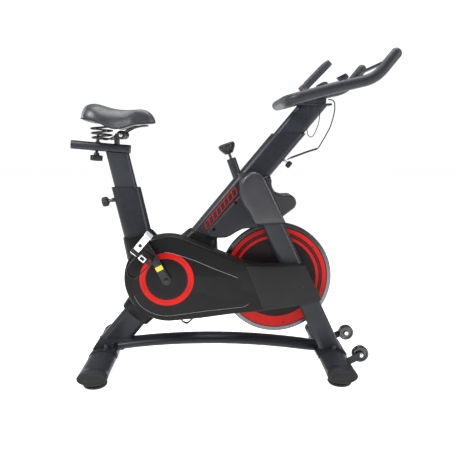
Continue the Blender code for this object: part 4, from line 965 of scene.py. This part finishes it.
# height, share of a square cut, rear and front reach, half width
MAIN_BOOT_ROWS = (
    (0.455, 0.4, -0.074, 0.083, 0.036),
    (0.498, 0.4, -0.0655, 0.079, 0.035),
    (0.5225, 0.38, -0.059, 0.0575, 0.0325),
    (0.5235, 0.38, -0.057, 0.0555, 0.0305),
    (0.5275, 0.38, -0.056, 0.054, 0.03),
)
SEAT_BOOT_ROWS = (
    (0.44, 0.0, -0.064, 0.08, 0.035),
    (0.508, 0.0, -0.061, 0.0735, 0.034),
    (0.5265, -0.27, -0.0592, 0.061, 0.0312),
    (0.527, -0.27, -0.058, 0.0585, 0.03),
    (0.53, -0.27, -0.0575, 0.0575, 0.0295),
)
LEG_BOOT_ROWS = (
    (0.199, 0.0, -0.062, 0.059, 0.031),
    (0.202, 0.0, -0.064, 0.061, 0.033),
    (0.233, 0.0, -0.0685, 0.066, 0.035),
    (0.243, 0.0, -0.069, 0.067, 0.0355),
)


def covers():
    crown_covers()
    brake_cover()
    front_cover()
    belt_cover()
    ring_and_disc()
    crank_cover_left()
    boot("main_collar", "main_tube_boot", MAIN_FOOT, MAIN_SLOPE, MAIN_SIZE, MAIN_BOOT_ROWS)
    boot("seat_collar", "seat_tube_boot", SEAT_FOOT, SEAT_SLOPE, SEAT_SIZE, SEAT_BOOT_ROWS)
    boot("rear_leg_collar", "rear_leg_boot", MAIN_FOOT, MAIN_SLOPE, MAIN_SIZE, LEG_BOOT_ROWS)


# Drive


def flywheel():
    half, face, screw_circle = 0.01, 0.0125, 0.1885
    rim = [(FLYWHEEL_R - 0.003, half), (FLYWHEEL_R - 0.0012, half - 0.0006),
           (FLYWHEEL_R - 0.0003, half - 0.0018), (FLYWHEEL_R, half - 0.0035)]
    profile = [(0.0104, 0.016), (0.029, 0.016), (0.03, 0.0152), (0.032, 0.006), (0.034, 0.005),
               (0.168, 0.005), (0.1705, 0.006), (0.172, half - 0.001), (0.173, half)] + rim
    profile += [(radius, -y) for radius, y in reversed(profile)]
    wheel = turned_across("flywheel_disc", profile, *FLYWHEEL_AXIS, 160, True)
    finished(wheel, "flywheel", "polished_steel", ["flywheel"])
    for side in (-1, 1):
        near, outer = side * (half + GAP), side * face
        profile = [(0.036, near), (0.036, outer - side * 0.0004), (0.0364, outer), (0.2034, outer),
                   (0.204, outer - side * 0.0006), (0.204, near)]
        disc = turned_across(sided("printed_disc", side), profile, *FLYWHEEL_AXIS, 160, True)
        node = sided("flywheel_face", side)
        finished(weld(disc), "flywheel", "flywheel_print", [node])
        for i in range(6):
            x, z = around(FLYWHEEL_AXIS, screw_circle, radians(-80.0 + 60.0 * i))
            head = screw_head(sided("disc_screw_%d" % (i + 1), side), x, side * face, z, 0.0038)
            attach(head, "flywheel")


def pedal_axis(side):
    turn = CRANK_ANGLE if side < 0 else CRANK_ANGLE + pi
    return around(CRANK_AXIS, CRANK_LENGTH, turn)


def crank_arm(side):
    end = pedal_axis(side)
    heading = degrees(atan2(end[1] - CRANK_AXIS[1], end[0] - CRANK_AXIS[0]))
    outline = arc(CRANK_AXIS, 0.0175, heading + 70, heading + 290, 40)
    outline += arc(end, 0.0125, heading - 90, heading + 90, 24)
    arm = upright_flat(sided("crank", side), [outline, circle(CRANK_AXIS, 0.0088, 32)],
                       side * (ARM_Y - 0.007), side * (ARM_Y + 0.007), 0.003, 4)
    spindle = [(0.0, 0.226), (0.0052, 0.226), (0.006, 0.2252), (0.006, ARM_Y + 0.0085),
               (0.0085, ARM_Y + 0.0083), (0.0088, ARM_Y + 0.0078), (0.0088, ARM_Y + 0.004),
               (0.0, ARM_Y + 0.004)]
    spindle = turned_across("spindle", spindle, *end, 32)
    cap = [(0.0, ARM_Y + 0.0098), (0.006, ARM_Y + 0.0094), (0.0098, ARM_Y + 0.0082),
           (0.0104, ARM_Y + 0.0072), (0.0104, ARM_Y + 0.0066), (0.0, ARM_Y + 0.0066)]
    cap = turned_across("cap", cap, *CRANK_AXIS, 40)
    if side < 0:
        for part in (spindle, cap):
            shift(part, MIRROR)
    finished(joined(sided("crank_forging", side), arm, spindle, cap), "crank", "black_enamel",
             [sided("crank_arm", side)])
    if side < 0:
        middle = [CRANK_AXIS[i] + (end[i] - CRANK_AXIS[i]) * 0.31 for i in (0, 1)]
        label = flat("arm_sticker", [rounded(0.027, 0.018, 0.002)], 0.0003)
        place = move(middle[0], -ARM_Y - 0.0072, middle[1])
        shift(label, place @ about_y(radians(90.0 - heading)) @ UPRIGHT)
        finished(label, "crank", "yellow_sticker")


def pedal_frame(side):
    """The pedal's local frame: +X to the toe, +Y across, +Z out of the tread."""
    lean = radians(130.5 if side < 0 else 128.0)
    end = pedal_axis(side)
    return move(end[0], side * PEDAL_Y, end[1]) @ about_y(lean)


TOE_CLIP_RUN = mm((44.6, -9), (44.6, 9), (52, 13.6), (95, 14.6), (113, 25), (120, 38), (119, 52),
                  (109, 63), (70, 68.4), (33, 71.8))


def pedal(side):
    body = sided("pedal", side)
    place = pedal_frame(side)
    windows = []
    for x in (-0.024, 0.024):
        for y in (-0.02, 0.02):
            windows.append([(x + px, y + py) for px, py in rounded(0.02, 0.026, 0.004, 5)])
    made = flat(sided("pedal_plate", side), [rounded(0.086, 0.08, 0.012)] + windows, 0.024, 0.0022, 3)
    bore = turned("bore", mm((0, 60), (6.4, 60), (6.4, -60), (0, -60)), 32)
    made = cut(made, shift(bore, ACROSS))
    finished(shift(made, place), body, "pedal_alloy", [sided("pedal", side)])
    # rows of tapered teeth on both faces
    blocks = []
    for x in (-0.0385, 0.0385):
        for face in (-1, 1):
            for k in range(7):
                y = -0.03 + 0.01 * k
                tooth = box("tooth", (x - 0.003, y - 0.003, 0.0), (x + 0.003, y + 0.003, 0.0022))
                for vertex in tooth.data.vertices:
                    if vertex.co.z > 0.001:
                        vertex.co.x = x + (vertex.co.x - x) * 0.5
                        vertex.co.y = y + (vertex.co.y - y) * 0.5
                shift(tooth, move(0.0, 0.0, face * 0.0118) @ Matrix.Scale(face, 4, Vector((0, 0, 1))))
                blocks.append(tooth)
    finished(shift(joined(sided("pedal_teeth", side), *blocks), place), body, "pedal_alloy")
    # toe clip, strap and buckle
    path = smoothed([(x, 0.0, z) for x, z in TOE_CLIP_RUN])
    rings = []
    for i, point in enumerate(path):
        after = path[min(i + 1, len(path) - 1)] - path[max(i - 1, 0)]
        normal = Vector((-after.z, 0.0, after.x)).normalized() * 0.0012
        share = i / (len(path) - 1)
        wide = 0.0158 - 0.006 * sin(pi * share) ** 2
        rings.append([point + normal + Vector((0, wide, 0)), point + normal - Vector((0, wide, 0)),
                      point - normal - Vector((0, wide, 0)), point - normal + Vector((0, wide, 0))])
    clip = rounded_edges(loft(sided("toe_clip", side), rings), 0.0006, 2, 50.0)
    finished(shift(clip, place), body, "black_enamel", [sided("toe_cage", side)])
    half, low, high, corner = 0.0408, -0.013, 0.0706, 0.016
    loop = [(-half, high - corner)] + arc((-half + corner, high - corner), corner, 180.0, 90.0, 10)[1:]
    loop += arc((half - corner, high - corner), corner, 90.0, 0.0, 10)
    loop += arc((half - 0.004, low + 0.004), 0.004, 0.0, -90.0, 5)
    loop += arc((-half + 0.004, low + 0.004), 0.004, 270.0, 180.0, 5)
    thick = 0.002
    outer = [(y * (half + thick) / half, z + (thick if z > 0.0 else -thick)) for y, z in loop]
    strap = flat(sided("toe_strap", side), [outer, loop], 0.014)
    strap = rounded_edges(shift(strap, move(0.03, 0.0, 0.0) @ STAND), 0.0005, 2, 50.0)
    finished(shift(strap, place), body, "black_rubber")
    buckle = flat(sided("strap_buckle", side), [rounded(0.02, 0.026, 0.003), rounded(0.01, 0.015, 0.002)],
                  0.0026, 0.0007, 2)
    shift(buckle, move(0.03, side * (half + thick + 0.0014), 0.034) @ UPRIGHT)
    finished(shift(buckle, place), body, "bright_steel")


def drive():
    flywheel()
    for side in (-1, 1):
        crank_arm(side)
        pedal(side)


# Resistance


def resistance():
    profile = [(0.0, HOUSING_LENGTH), (0.0166, HOUSING_LENGTH), (0.0174, HOUSING_LENGTH - 0.0005),
               (0.018, HOUSING_LENGTH - 0.002), (0.018, -0.034), (0.0, -0.034)]
    housing = shift(turned("brake_sleeve", profile, 64), brake_place())
    housing = cut(housing, rod_tool("bore", 0.0066, -0.05, 0.1))
    housing = cut(housing, main_room(0.55, 0.88))
    on_frame(housing, "post_steel", ["brake_housing"])
    kept("brake_rod", "dark_steel")
    low = 0.0985
    profile = mm((0, 40.8), (12, 40.7), (24, 40.1), (29, 38.6), (31.8, 35.8), (32.8, 31.5), (32.2, 26.2),
                 (30, 20.5), (25.6, 13.5), (21.5, 7.5), (17.8, 2.8), (16.2, 0.6), (15, 0), (6, 0),
                 (6, 18), (0, 18))
    knob = turned("resistance_knob", [(radius, low + z) for radius, z in profile], 96)

    def flutes(reach, turn, height):
        return 0.035 * max(0.0, cos(8.0 * turn)) * min(1.0, (reach - 0.02) / 0.008)

    drawn_in(knob, 0.02, flutes)
    finished(shift(knob, brake_place()), "resistance_knob", "knob_plastic", ["brake_knob"])


# Seat


def rail_place():
    return move(RAIL_CENTRE[0], 0.0, RAIL_CENTRE[1]) @ about_y(RAIL_TILT)


KNOB_GAP = GAP + 0.0002


def pull_knob(name, node, place, heading, scale, shank_look):
    """A ribbed cap on a shank and a nut, which stands on a post's face and points along a heading."""
    profile = mm((0, 48), (13, 48), (15, 47.4), (17.5, 45.5), (18.5, 43.5), (18.5, 29), (17.2, 26.5),
                 (15, 24.5), (11, 23.8), (11, 22.5), (8, 22.2), (0, 22.2))

    def ribs(reach, turn, height):
        on_rim = 0.027 <= height <= 0.045
        return 0.0016 * (0.5 - 0.5 * cos(18 * turn)) / reach if on_rim else 0.0

    knob = drawn_in(turned("cap", profile, 108), 0.006, ribs)
    shank = turned("shank", mm((0, 22.4), (6.6, 22.4), (6.6, 8.8), (0, 8.8)), 32)
    nut = rounded_edges(turned("nut", mm((0, 9), (8.5, 9), (8.5, 0), (0, 0)), 6), 0.0007, 2, 30.0)
    x, z = around(place, KNOB_GAP, heading)
    turn = move(x, 0.0, z) @ about_y(pi / 2.0 - heading) @ Matrix.Scale(scale, 4)
    finished(shift(knob, turn), node, "knob_plastic", [node])
    finished(shift(joined(name + "_shank", shank, nut), turn), node, shank_look)


def seat_knob():
    z = 0.661
    edge = SEAT_FOOT + SEAT_SLOPE * z - SEAT_SIZE[0] / 2.0 * sqrt(1.0 + SEAT_SLOPE ** 2)
    pull_knob("seat_knob", "seat_height_knob", (edge, z), radians(192.3), 1.0, "dark_steel")


def bar_knob():
    z = 0.812
    edge = main_x(z) + MAIN_SIZE[0] / 2.0 * sqrt(1.0 + MAIN_SLOPE ** 2)
    pull_knob("bar_knob", "handlebar_knob", (edge, z), radians(-40.1), 0.72, "bright_steel")


def seat_slide():
    for node in ("slide_rail", "seat_post"):
        kept(node, "post_steel", 30.0)
    kept("saddle_slider", "dark_steel", 30.0)
    top = -0.0122 - GAP
    profile = [(0.0, top), (0.0058, top), (0.0058, -0.023), (0.01, -0.0235), (0.0105, -0.03),
               (0.012, -0.0322), (0.0215, -0.033), (0.0232, -0.0345), (0.0235, -0.0365), (0.0235, -0.05),
               (0.0222, -0.0525), (0.02, -0.0535), (0.0, -0.0535)]
    knob = turned("slide_lock_knob", profile, 96)
    drawn_in(knob, 0.016, lambda reach, turn, height: 0.1 * (0.5 - 0.5 * cos(7.0 * turn)))
    shift(knob, rail_place() @ move(-0.0155, 0.0, 0.0))
    finished(knob, "slide_knob", "knob_plastic", ["slide_knob"])
    # end plugs of the rail
    for name, x in (("rail_plug_rear", -0.103), ("rail_plug_front", 0.103)):
        plug = flat(name, [rounded(0.033, 0.023, 0.007)], 0.002, 0.0006, 2)
        shift(plug, rail_place() @ move(x, 0.0, 0.0) @ STAND)
        finished(plug, "seat_column", "black_rubber")


# x, half width, top, skirt, middle of the underside
SADDLE_STATIONS = mm((-533.5, 56, 986, 964, 966), (-529, 74, 998, 961, 962),
                     (-521, 90, 1009.5, 958.5, 957), (-508, 101, 1017.2, 956.5, 953),
                     (-490, 107.5, 1019.5, 954.5, 950), (-470, 110, 1016.5, 949, 948),
                     (-445, 107, 1009, 937, 947), (-420, 96, 1002, 925.5, 946.5),
                     (-395, 78, 998.5, 924, 946.5), (-370, 58, 997.5, 931, 946.5),
                     (-345, 42, 998.5, 940, 947), (-318, 34, 1000, 944, 947.5),
                     (-295, 29, 994, 945.5, 947.5), (-278, 22, 980, 946, 948),
                     (-267.5, 12, 962, 948, 949))


DOME_STEPS, UNDER_STEPS = 36, 19


def saddle_ring(station):
    """One section of the cushion: a full dome above, and a shallow curve between its skirts."""
    x, half, top, skirt, middle = station
    ring = []
    for i in range(DOME_STEPS + 1):
        angle = pi * i / DOME_STEPS
        across = half * copysign(abs(cos(angle)) ** 0.75, cos(angle))
        ring.append(Vector((x, across, skirt + (top - skirt) * sin(angle) ** 0.8)))
    for i in range(1, UNDER_STEPS + 1):
        share = -1.0 + 2.0 * i / (UNDER_STEPS + 1)
        ring.append(Vector((x, half * share, skirt + (middle - skirt) * (1.0 - share * share))))
    return ring


def relax(target, amount, rounds):
    """Even out a mesh like a sculptor's smooth brush."""
    axes = dict.fromkeys(("use_axis_x", "use_axis_y", "use_axis_z"), True)
    with editing(target.data) as shape:
        for _ in range(rounds):
            bmesh.ops.smooth_vert(shape, verts=shape.verts, factor=amount, **axes)


def remeshed(target, size):
    step = target.modifiers.new("remesh", "REMESH")
    step.mode = "VOXEL"
    step.voxel_size = size
    return applied(target)


PUFF_FRAMES = 18


def puffed(target, pressure, cap):
    """Cloth under pressure, with each point's travel capped, then made the mesh."""
    start = [vertex.co.copy() for vertex in target.data.vertices]
    cloth = target.modifiers.new("skin", "CLOTH")
    cloth.settings.quality = 5
    cloth.settings.mass = 0.2
    cloth.settings.tension_stiffness = 25.0
    cloth.settings.compression_stiffness = 25.0
    cloth.settings.bending_stiffness = 4.0
    cloth.settings.use_pressure = True
    cloth.settings.uniform_pressure_force = pressure
    cloth.settings.effector_weights.gravity = 0.0
    cloth.collision_settings.use_collision = False
    scene = bpy.context.scene
    for step in range(PUFF_FRAMES):
        scene.frame_set(step + 1)
    bpy.context.view_layer.update()
    evaluated = target.evaluated_get(bpy.context.evaluated_depsgraph_get())
    moved = [vertex.co.copy() for vertex in evaluated.data.vertices]
    target.modifiers.clear()
    scene.frame_set(1)
    for vertex, old, new in zip(target.data.vertices, start, moved):
        travel = new - old
        if travel.length > cap:
            travel *= cap / travel.length
        vertex.co = old + travel
    return target


def saddle():
    fine = smoothed_rows(SADDLE_STATIONS, 4)
    cushion = remeshed(loft("saddle_cushion", [saddle_ring(station) for station in fine]), 0.0035)
    relax(cushion, 0.5, 6)
    puffed(cushion, 2.5, 0.0016)
    relax(cushion, 0.5, 3)
    for vertex in cushion.data.vertices:
        place = vertex.co
        # a soft channel along the middle of the rider's contact zone
        length = exp(-((place.x + 0.44) / 0.07) ** 2)
        if place.z > 0.985:
            place.z -= 0.0045 * length * exp(-(place.y / 0.014) ** 2)
    finished(cushion, "saddle", "saddle_skin", ["saddle"], angle=70.0)
    # the piping, a little above the skirt all the way round
    ring = [(x, half * 0.985 + 0.0006, skirt + 0.0045) for x, half, _, skirt, _ in fine[2:-2]]
    other = [(x, -y, z) for x, y, z in reversed(ring)]
    nose = [(-0.269, 0.0, 0.9515)]
    tail = mm((-534.5, -30, 969), (-535.2, 0, 969.5), (-534.5, 30, 969))
    path = smoothed(ring[::2] + nose + other[::2] + tail, True, 3)
    finished(tube("saddle_piping", path, 0.0016, 10, True), "saddle", "black_rubber")


def smoothed_rows(rows, count):
    """Catmull-Rom between rows of numbers."""
    path = []
    for i in range(len(rows) - 1):
        four = [rows[min(max(i + k, 0), len(rows) - 1)] for k in (-1, 0, 1, 2)]
        for step in range(count):
            path.append([spline(*column, step / count) for column in zip(*four)])
    path.append(list(rows[-1]))
    return path


COIL_STEPS = 28  # to the turn


def coil(centre_x, centre_y, low, high, low_r, high_r, turns):
    """A spring that widens as it rises."""
    points = []
    count = turns * COIL_STEPS
    for i in range(count + 1):
        share = i / count
        angle = radians(360.0 * turns * share)
        radius = low_r + (high_r - low_r) * share
        points.append(Vector((centre_x + radius * cos(angle), centre_y + radius * sin(angle),
                              low + (high - low) * share)))
    return points


def saddle_gear():
    spring = coil(-0.47, 0.054, 0.889, 0.9385, 0.024, 0.03, 3)
    rail = mm((-432, 43, 892.5), (-415, 35, 903), (-400, 34.5, 915.8), (-384, 34.5, 916.2),
              (-366, 34, 926), (-348, 32, 934), (-325, 26, 938.5), (-305, 17, 940), (-298.5, 8, 940))
    half = list(reversed(spring)) + smoothed([spring[0]] + rail, False, 5)[1:]
    other = [Vector((place.x, -place.y, place.z)) for place in reversed(half)]
    wire = tube("saddle_wire", half + other, 0.0031, 14)
    finished(wire, "saddle", "black_enamel", ["saddle_rails"])
    profile = mm((0, 49), (11, 48.8), (14, 47.8), (16, 46), (16.5, 44), (16.5, 38.5), (6.2, 38.5),
                 (6.2, 30), (15.4, 30), (16, 29.4), (16, 14.5), (15.4, 13.9), (5.9, 13.9))
    profile += [(radius, -y) for radius, y in reversed(profile)]
    clamp = turned_across("rail_clamp", profile, *CLAMP_AXIS, 56)
    finished(clamp, "saddle", "black_enamel", ["saddle_clamp"])
    for side in (-1, 1):
        nut = mm((0, 56), (6, 55.8), (7.6, 54.5), (7.8, 49.2), (0, 49.2))
        nut = rounded_edges(turned_across(sided("clamp_nut", side), nut, *CLAMP_AXIS, 6), 0.0005, 2, 25.0)
        if side < 0:
            shift(nut, MIRROR)
        finished(nut, "saddle", "bright_steel")


# Handlebar


BEND_STEPS = 12
STRAIGHT_STEP = 0.02


def bend_path(corners):
    """Round each inner corner (place, radius) of a path with a quadratic curve."""
    path = [Vector(corners[0][0])]
    for (before, _), (corner, radius), (after, _) in zip(corners, corners[1:], corners[2:]):
        corner = Vector(corner)
        start = corner + (Vector(before) - corner).normalized() * radius
        end = corner + (Vector(after) - corner).normalized() * radius
        if (start - path[-1]).length > STRAIGHT_STEP:
            last = path[-1].copy()
            steps = max(1, int((start - last).length / STRAIGHT_STEP))
            path += [last.lerp(start, k / steps) for k in range(1, steps)]
        for i in range(BEND_STEPS + 1):
            t = i / BEND_STEPS
            path.append(start * (1 - t) ** 2 + corner * 2 * t * (1 - t) + end * t ** 2)
    path.append(Vector(corners[-1][0]))
    return path


def handlebar():
    half = [
        ((0.5725, 0.2122, 1.188), 0.0), ((0.496, 0.209, 1.093), 0.04),
        ((0.36, 0.194, 1.063), 0.03), ((0.203, 0.176, 1.022), 0.055)]
    corners = half + [((x, -y, z), radius) for (x, y, z), radius in reversed(half)]
    path = bend_path(corners)
    lengths = [0.0]
    for first, second in zip(path, path[1:]):
        lengths.append(lengths[-1] + (second - first).length)
    total = lengths[-1]
    radius = 0.019
    ends = [radius * (1.0 - cos(radians(a))) for a in (0, 12, 28, 45, 62, 78)]
    inward = (path[1] - path[0]).normalized()
    start = [path[0] + inward * d for d in ends]
    outward = (path[-2] - path[-1]).normalized()
    stop = [path[-1] + outward * d for d in reversed(ends)]
    keep = [p for p, run in zip(path, lengths) if ends[-1] + 0.004 < run < total - ends[-1] - 0.004]
    sizes = [radius * sin(acos(1.0 - d / radius)) for d in ends]
    sizes[0] = radius * 0.1
    sizes = sizes + [radius] * len(keep) + list(reversed(sizes))
    path = start + keep + stop
    count = len(path) - 1
    bar = tube("handlebar_foam", path, lambda share: sizes[round(share * count)], 32)
    finished(bar, "handlebar_column", "grip_foam", ["handlebar"], angle=60.0)
    stay = tube("handlebar_stay", [(0.33, y, 1.052) for y in (-0.184, -0.1, 0.0, 0.1, 0.184)], 0.014, 28)
    finished(stay, "handlebar_column", "post_steel")
    front = [(0.538, -0.205 + 0.041 * i, 1.152) for i in range(11)]
    finished(tube("handlebar_cross_rod", front, 0.0062, 20), "handlebar_column", "post_steel")
    foot = box("handlebar_mount", (0.29, -0.028, HEAD_POST_TOP + 0.004 + GAP), (0.37, 0.028, 1.05))
    finished(rounded_edges(foot, 0.004, 3), "handlebar_column", "post_steel")
    kept("handlebar_post", "post_steel", 30.0)


def console_place():
    return move(0.3285, 0.0, 1.1205) @ about_y(radians(-45.5))


def console():
    body = flat("console_case", [rounded(0.136, 0.108, 0.014, 8)], 0.024, 0.0045, 4)
    recess = flat("recess", [rounded(0.07, 0.084, 0.006, 6)], 0.004)
    body = cut(body, shift(recess, move(0.016, 0.0, 0.012)))
    room = turned("room", mm((0, 20), (9.2, 20), (9.2, 8.8), (0, 8.8)), 48)
    body = cut(body, shift(room, move(-0.052, 0.0, 0.0)))
    finished(shift(body, console_place()), "handlebar_column", "console_plastic", ["console"])
    screen = flat("console_screen", [rounded(0.0694, 0.0834, 0.0057, 6)], 0.0012, 0.0003, 2)
    shift(screen, console_place() @ move(0.016, 0.0, 0.0108))
    finished(screen, "handlebar_column", "screen")
    profile = mm((0, 14.2), (4.5, 14.1), (7, 13.7), (8.2, 12.9), (8.7, 11.8), (8.7, 10.8), (0, 10.8))
    button = shift(turned("start_button", profile, 56), console_place() @ move(-0.052, 0.0, 0.0))
    finished(button, "console_button", "button_plastic", ["console_button"])


def media_tray():
    low = 1.0664
    outer = [(0.372, low), (0.378, 1.0745), (0.4, 1.0815), (0.428, 1.0965), (0.4405, 1.1135)]
    outer = [tuple(point) for point in smoothed(outer)]
    lip = mm((435, 1120.5), (428, 1126.2), (424, 1123.5))
    inner = mm((431.5, 1117), (433, 1112.5), (423.5, 1101.5), (398.5, 1086.5), (374, 1081.5))
    inner = [tuple(point) for point in smoothed(inner)]
    outline = [(0.345, low)] + outer + lip + inner + [(0.36, 1.096), (0.348, 1.096)]
    tray = upright_flat("media_rest", [outline], -0.07, 0.07)
    finished(rounded_edges(tray, 0.0008, 2, 40.0), "handlebar_column", "console_plastic", ["media_tray"])


SENSOR_LEAD = (
    (0.2295, -0.012, 0.814), (0.242, -0.014, 0.8205), (0.27, -0.018, 0.831), (0.305, -0.02, 0.844),
    (0.341, -0.02, 0.855), (0.356, -0.02, 0.876), (0.372, -0.02, 0.904), (0.388, -0.02, 0.936),
    (0.398, -0.02, 0.97), (0.403, -0.02, 1.0), (0.402, -0.02, 1.022), (0.396, -0.02, 1.033),
    (0.385, -0.02, 1.036), (0.378, -0.02, 1.0365))

PULSE_LEAD = (
    (0.34, -0.0345, 1.027), (0.344, -0.036, 1.005), (0.344, -0.036, 0.975), (0.34, -0.035, 0.945),
    (0.33, -0.033, 0.918), (0.321, -0.031, 0.902), (0.312, -0.03, 0.899), (0.303, -0.029, 0.908),
    (0.3, -0.029, 0.923), (0.299, -0.029, 0.955), (0.299, -0.03, 0.99), (0.3, -0.033, 1.014))


def leads():
    lead = tube("sensor_cable", smoothed(SENSOR_LEAD, False, 8), 0.0022, 12)
    lead.data.materials.append(LOOKS["black_rubber"])
    lead.data.shade_smooth()
    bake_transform(lead)
    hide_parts("sensor_lead")
    sleeve = smoothed(SENSOR_LEAD[1:5], False, 8)
    on_frame(tube("sensor_sleeve", sleeve, 0.0038, 14), "black_enamel")
    finished(tube("pulse_cable", smoothed(PULSE_LEAD, False, 8), 0.0016, 10), "handlebar_column",
             "black_rubber", ["pulse_lead"])


# Stage, light and camera


def floor_and_light():
    mesh = bpy.data.meshes.new("floor")
    size = 14.0
    corners = [(-size, -size, 0.0), (size, -size, 0.0), (size, size, 0.0), (-size, size, 0.0)]
    mesh.from_pydata(corners, [], [(0, 1, 2, 3)])
    floor = add("floor", mesh)
    material = bpy.data.materials.new("studio_floor")
    material.use_nodes = True
    white = (1.0, 1.0, 1.0, 1.0)
    fill(material.node_tree.nodes["Principled BSDF"], Base_Color=(0.93, 0.93, 0.93, 1.0), Roughness=0.7,
         Specular_IOR_Level=0.1, Emission_Color=white, Emission_Strength=0.8)
    mesh.materials.append(material)
    world = bpy.data.worlds.new("studio")
    bpy.context.scene.world = world
    world.use_nodes = True
    tree = world.node_tree
    ray = tree.nodes.new("ShaderNodeLightPath").outputs["Is Camera Ray"]
    fill(tree.nodes["Background"], Color=white, Strength=ranged(tree, ray, 0.0, 1.0, 0.2, 1.05))
    softbox("key", (-1.7, -1.5, 2.4), (0.0, 0.0, 0.6), (1.1, 1.5), 90.0)
    softbox("top", (0.2, 0.2, 2.9), (0.0, 0.0, 0.4), (2.2, 1.6), 60.0)
    softbox("side", (2.4, -1.2, 1.3), (0.1, 0.0, 0.5), (0.6, 1.8), 40.0)
    softbox("rear", (-2.4, 1.2, 1.6), (0.0, 0.0, 0.6), (1.0, 1.8), 24.0)


def softbox(name, place, target, size, power):
    light = bpy.data.lights.new(name, "AREA")
    light.shape = "RECTANGLE"
    light.size, light.size_y = size
    light.energy = power
    made = add(name, light)
    made.location = place
    made.rotation_euler = (Vector(target) - Vector(place)).to_track_quat("-Z", "Y").to_euler()


def camera():
    data = bpy.data.cameras.new("camera")
    data.lens = 42.17
    data.sensor_width = 36.0
    made = add("camera", data)
    made.location = (-0.045, -2.05, 0.895)
    made.rotation_euler = (radians(80.468), 0.0, radians(-1.325))
    bpy.context.scene.camera = made
    bpy.context.scene.view_settings.view_transform = "Standard"


frame_tubes()
weld_beads()
saddle_plates()
stripes()
ground_pieces()
covers()
drive()
resistance()
seat_slide()
seat_knob()
bar_knob()
saddle()
saddle_gear()
handlebar()
console()
media_tray()
leads()
floor_and_light()
camera()
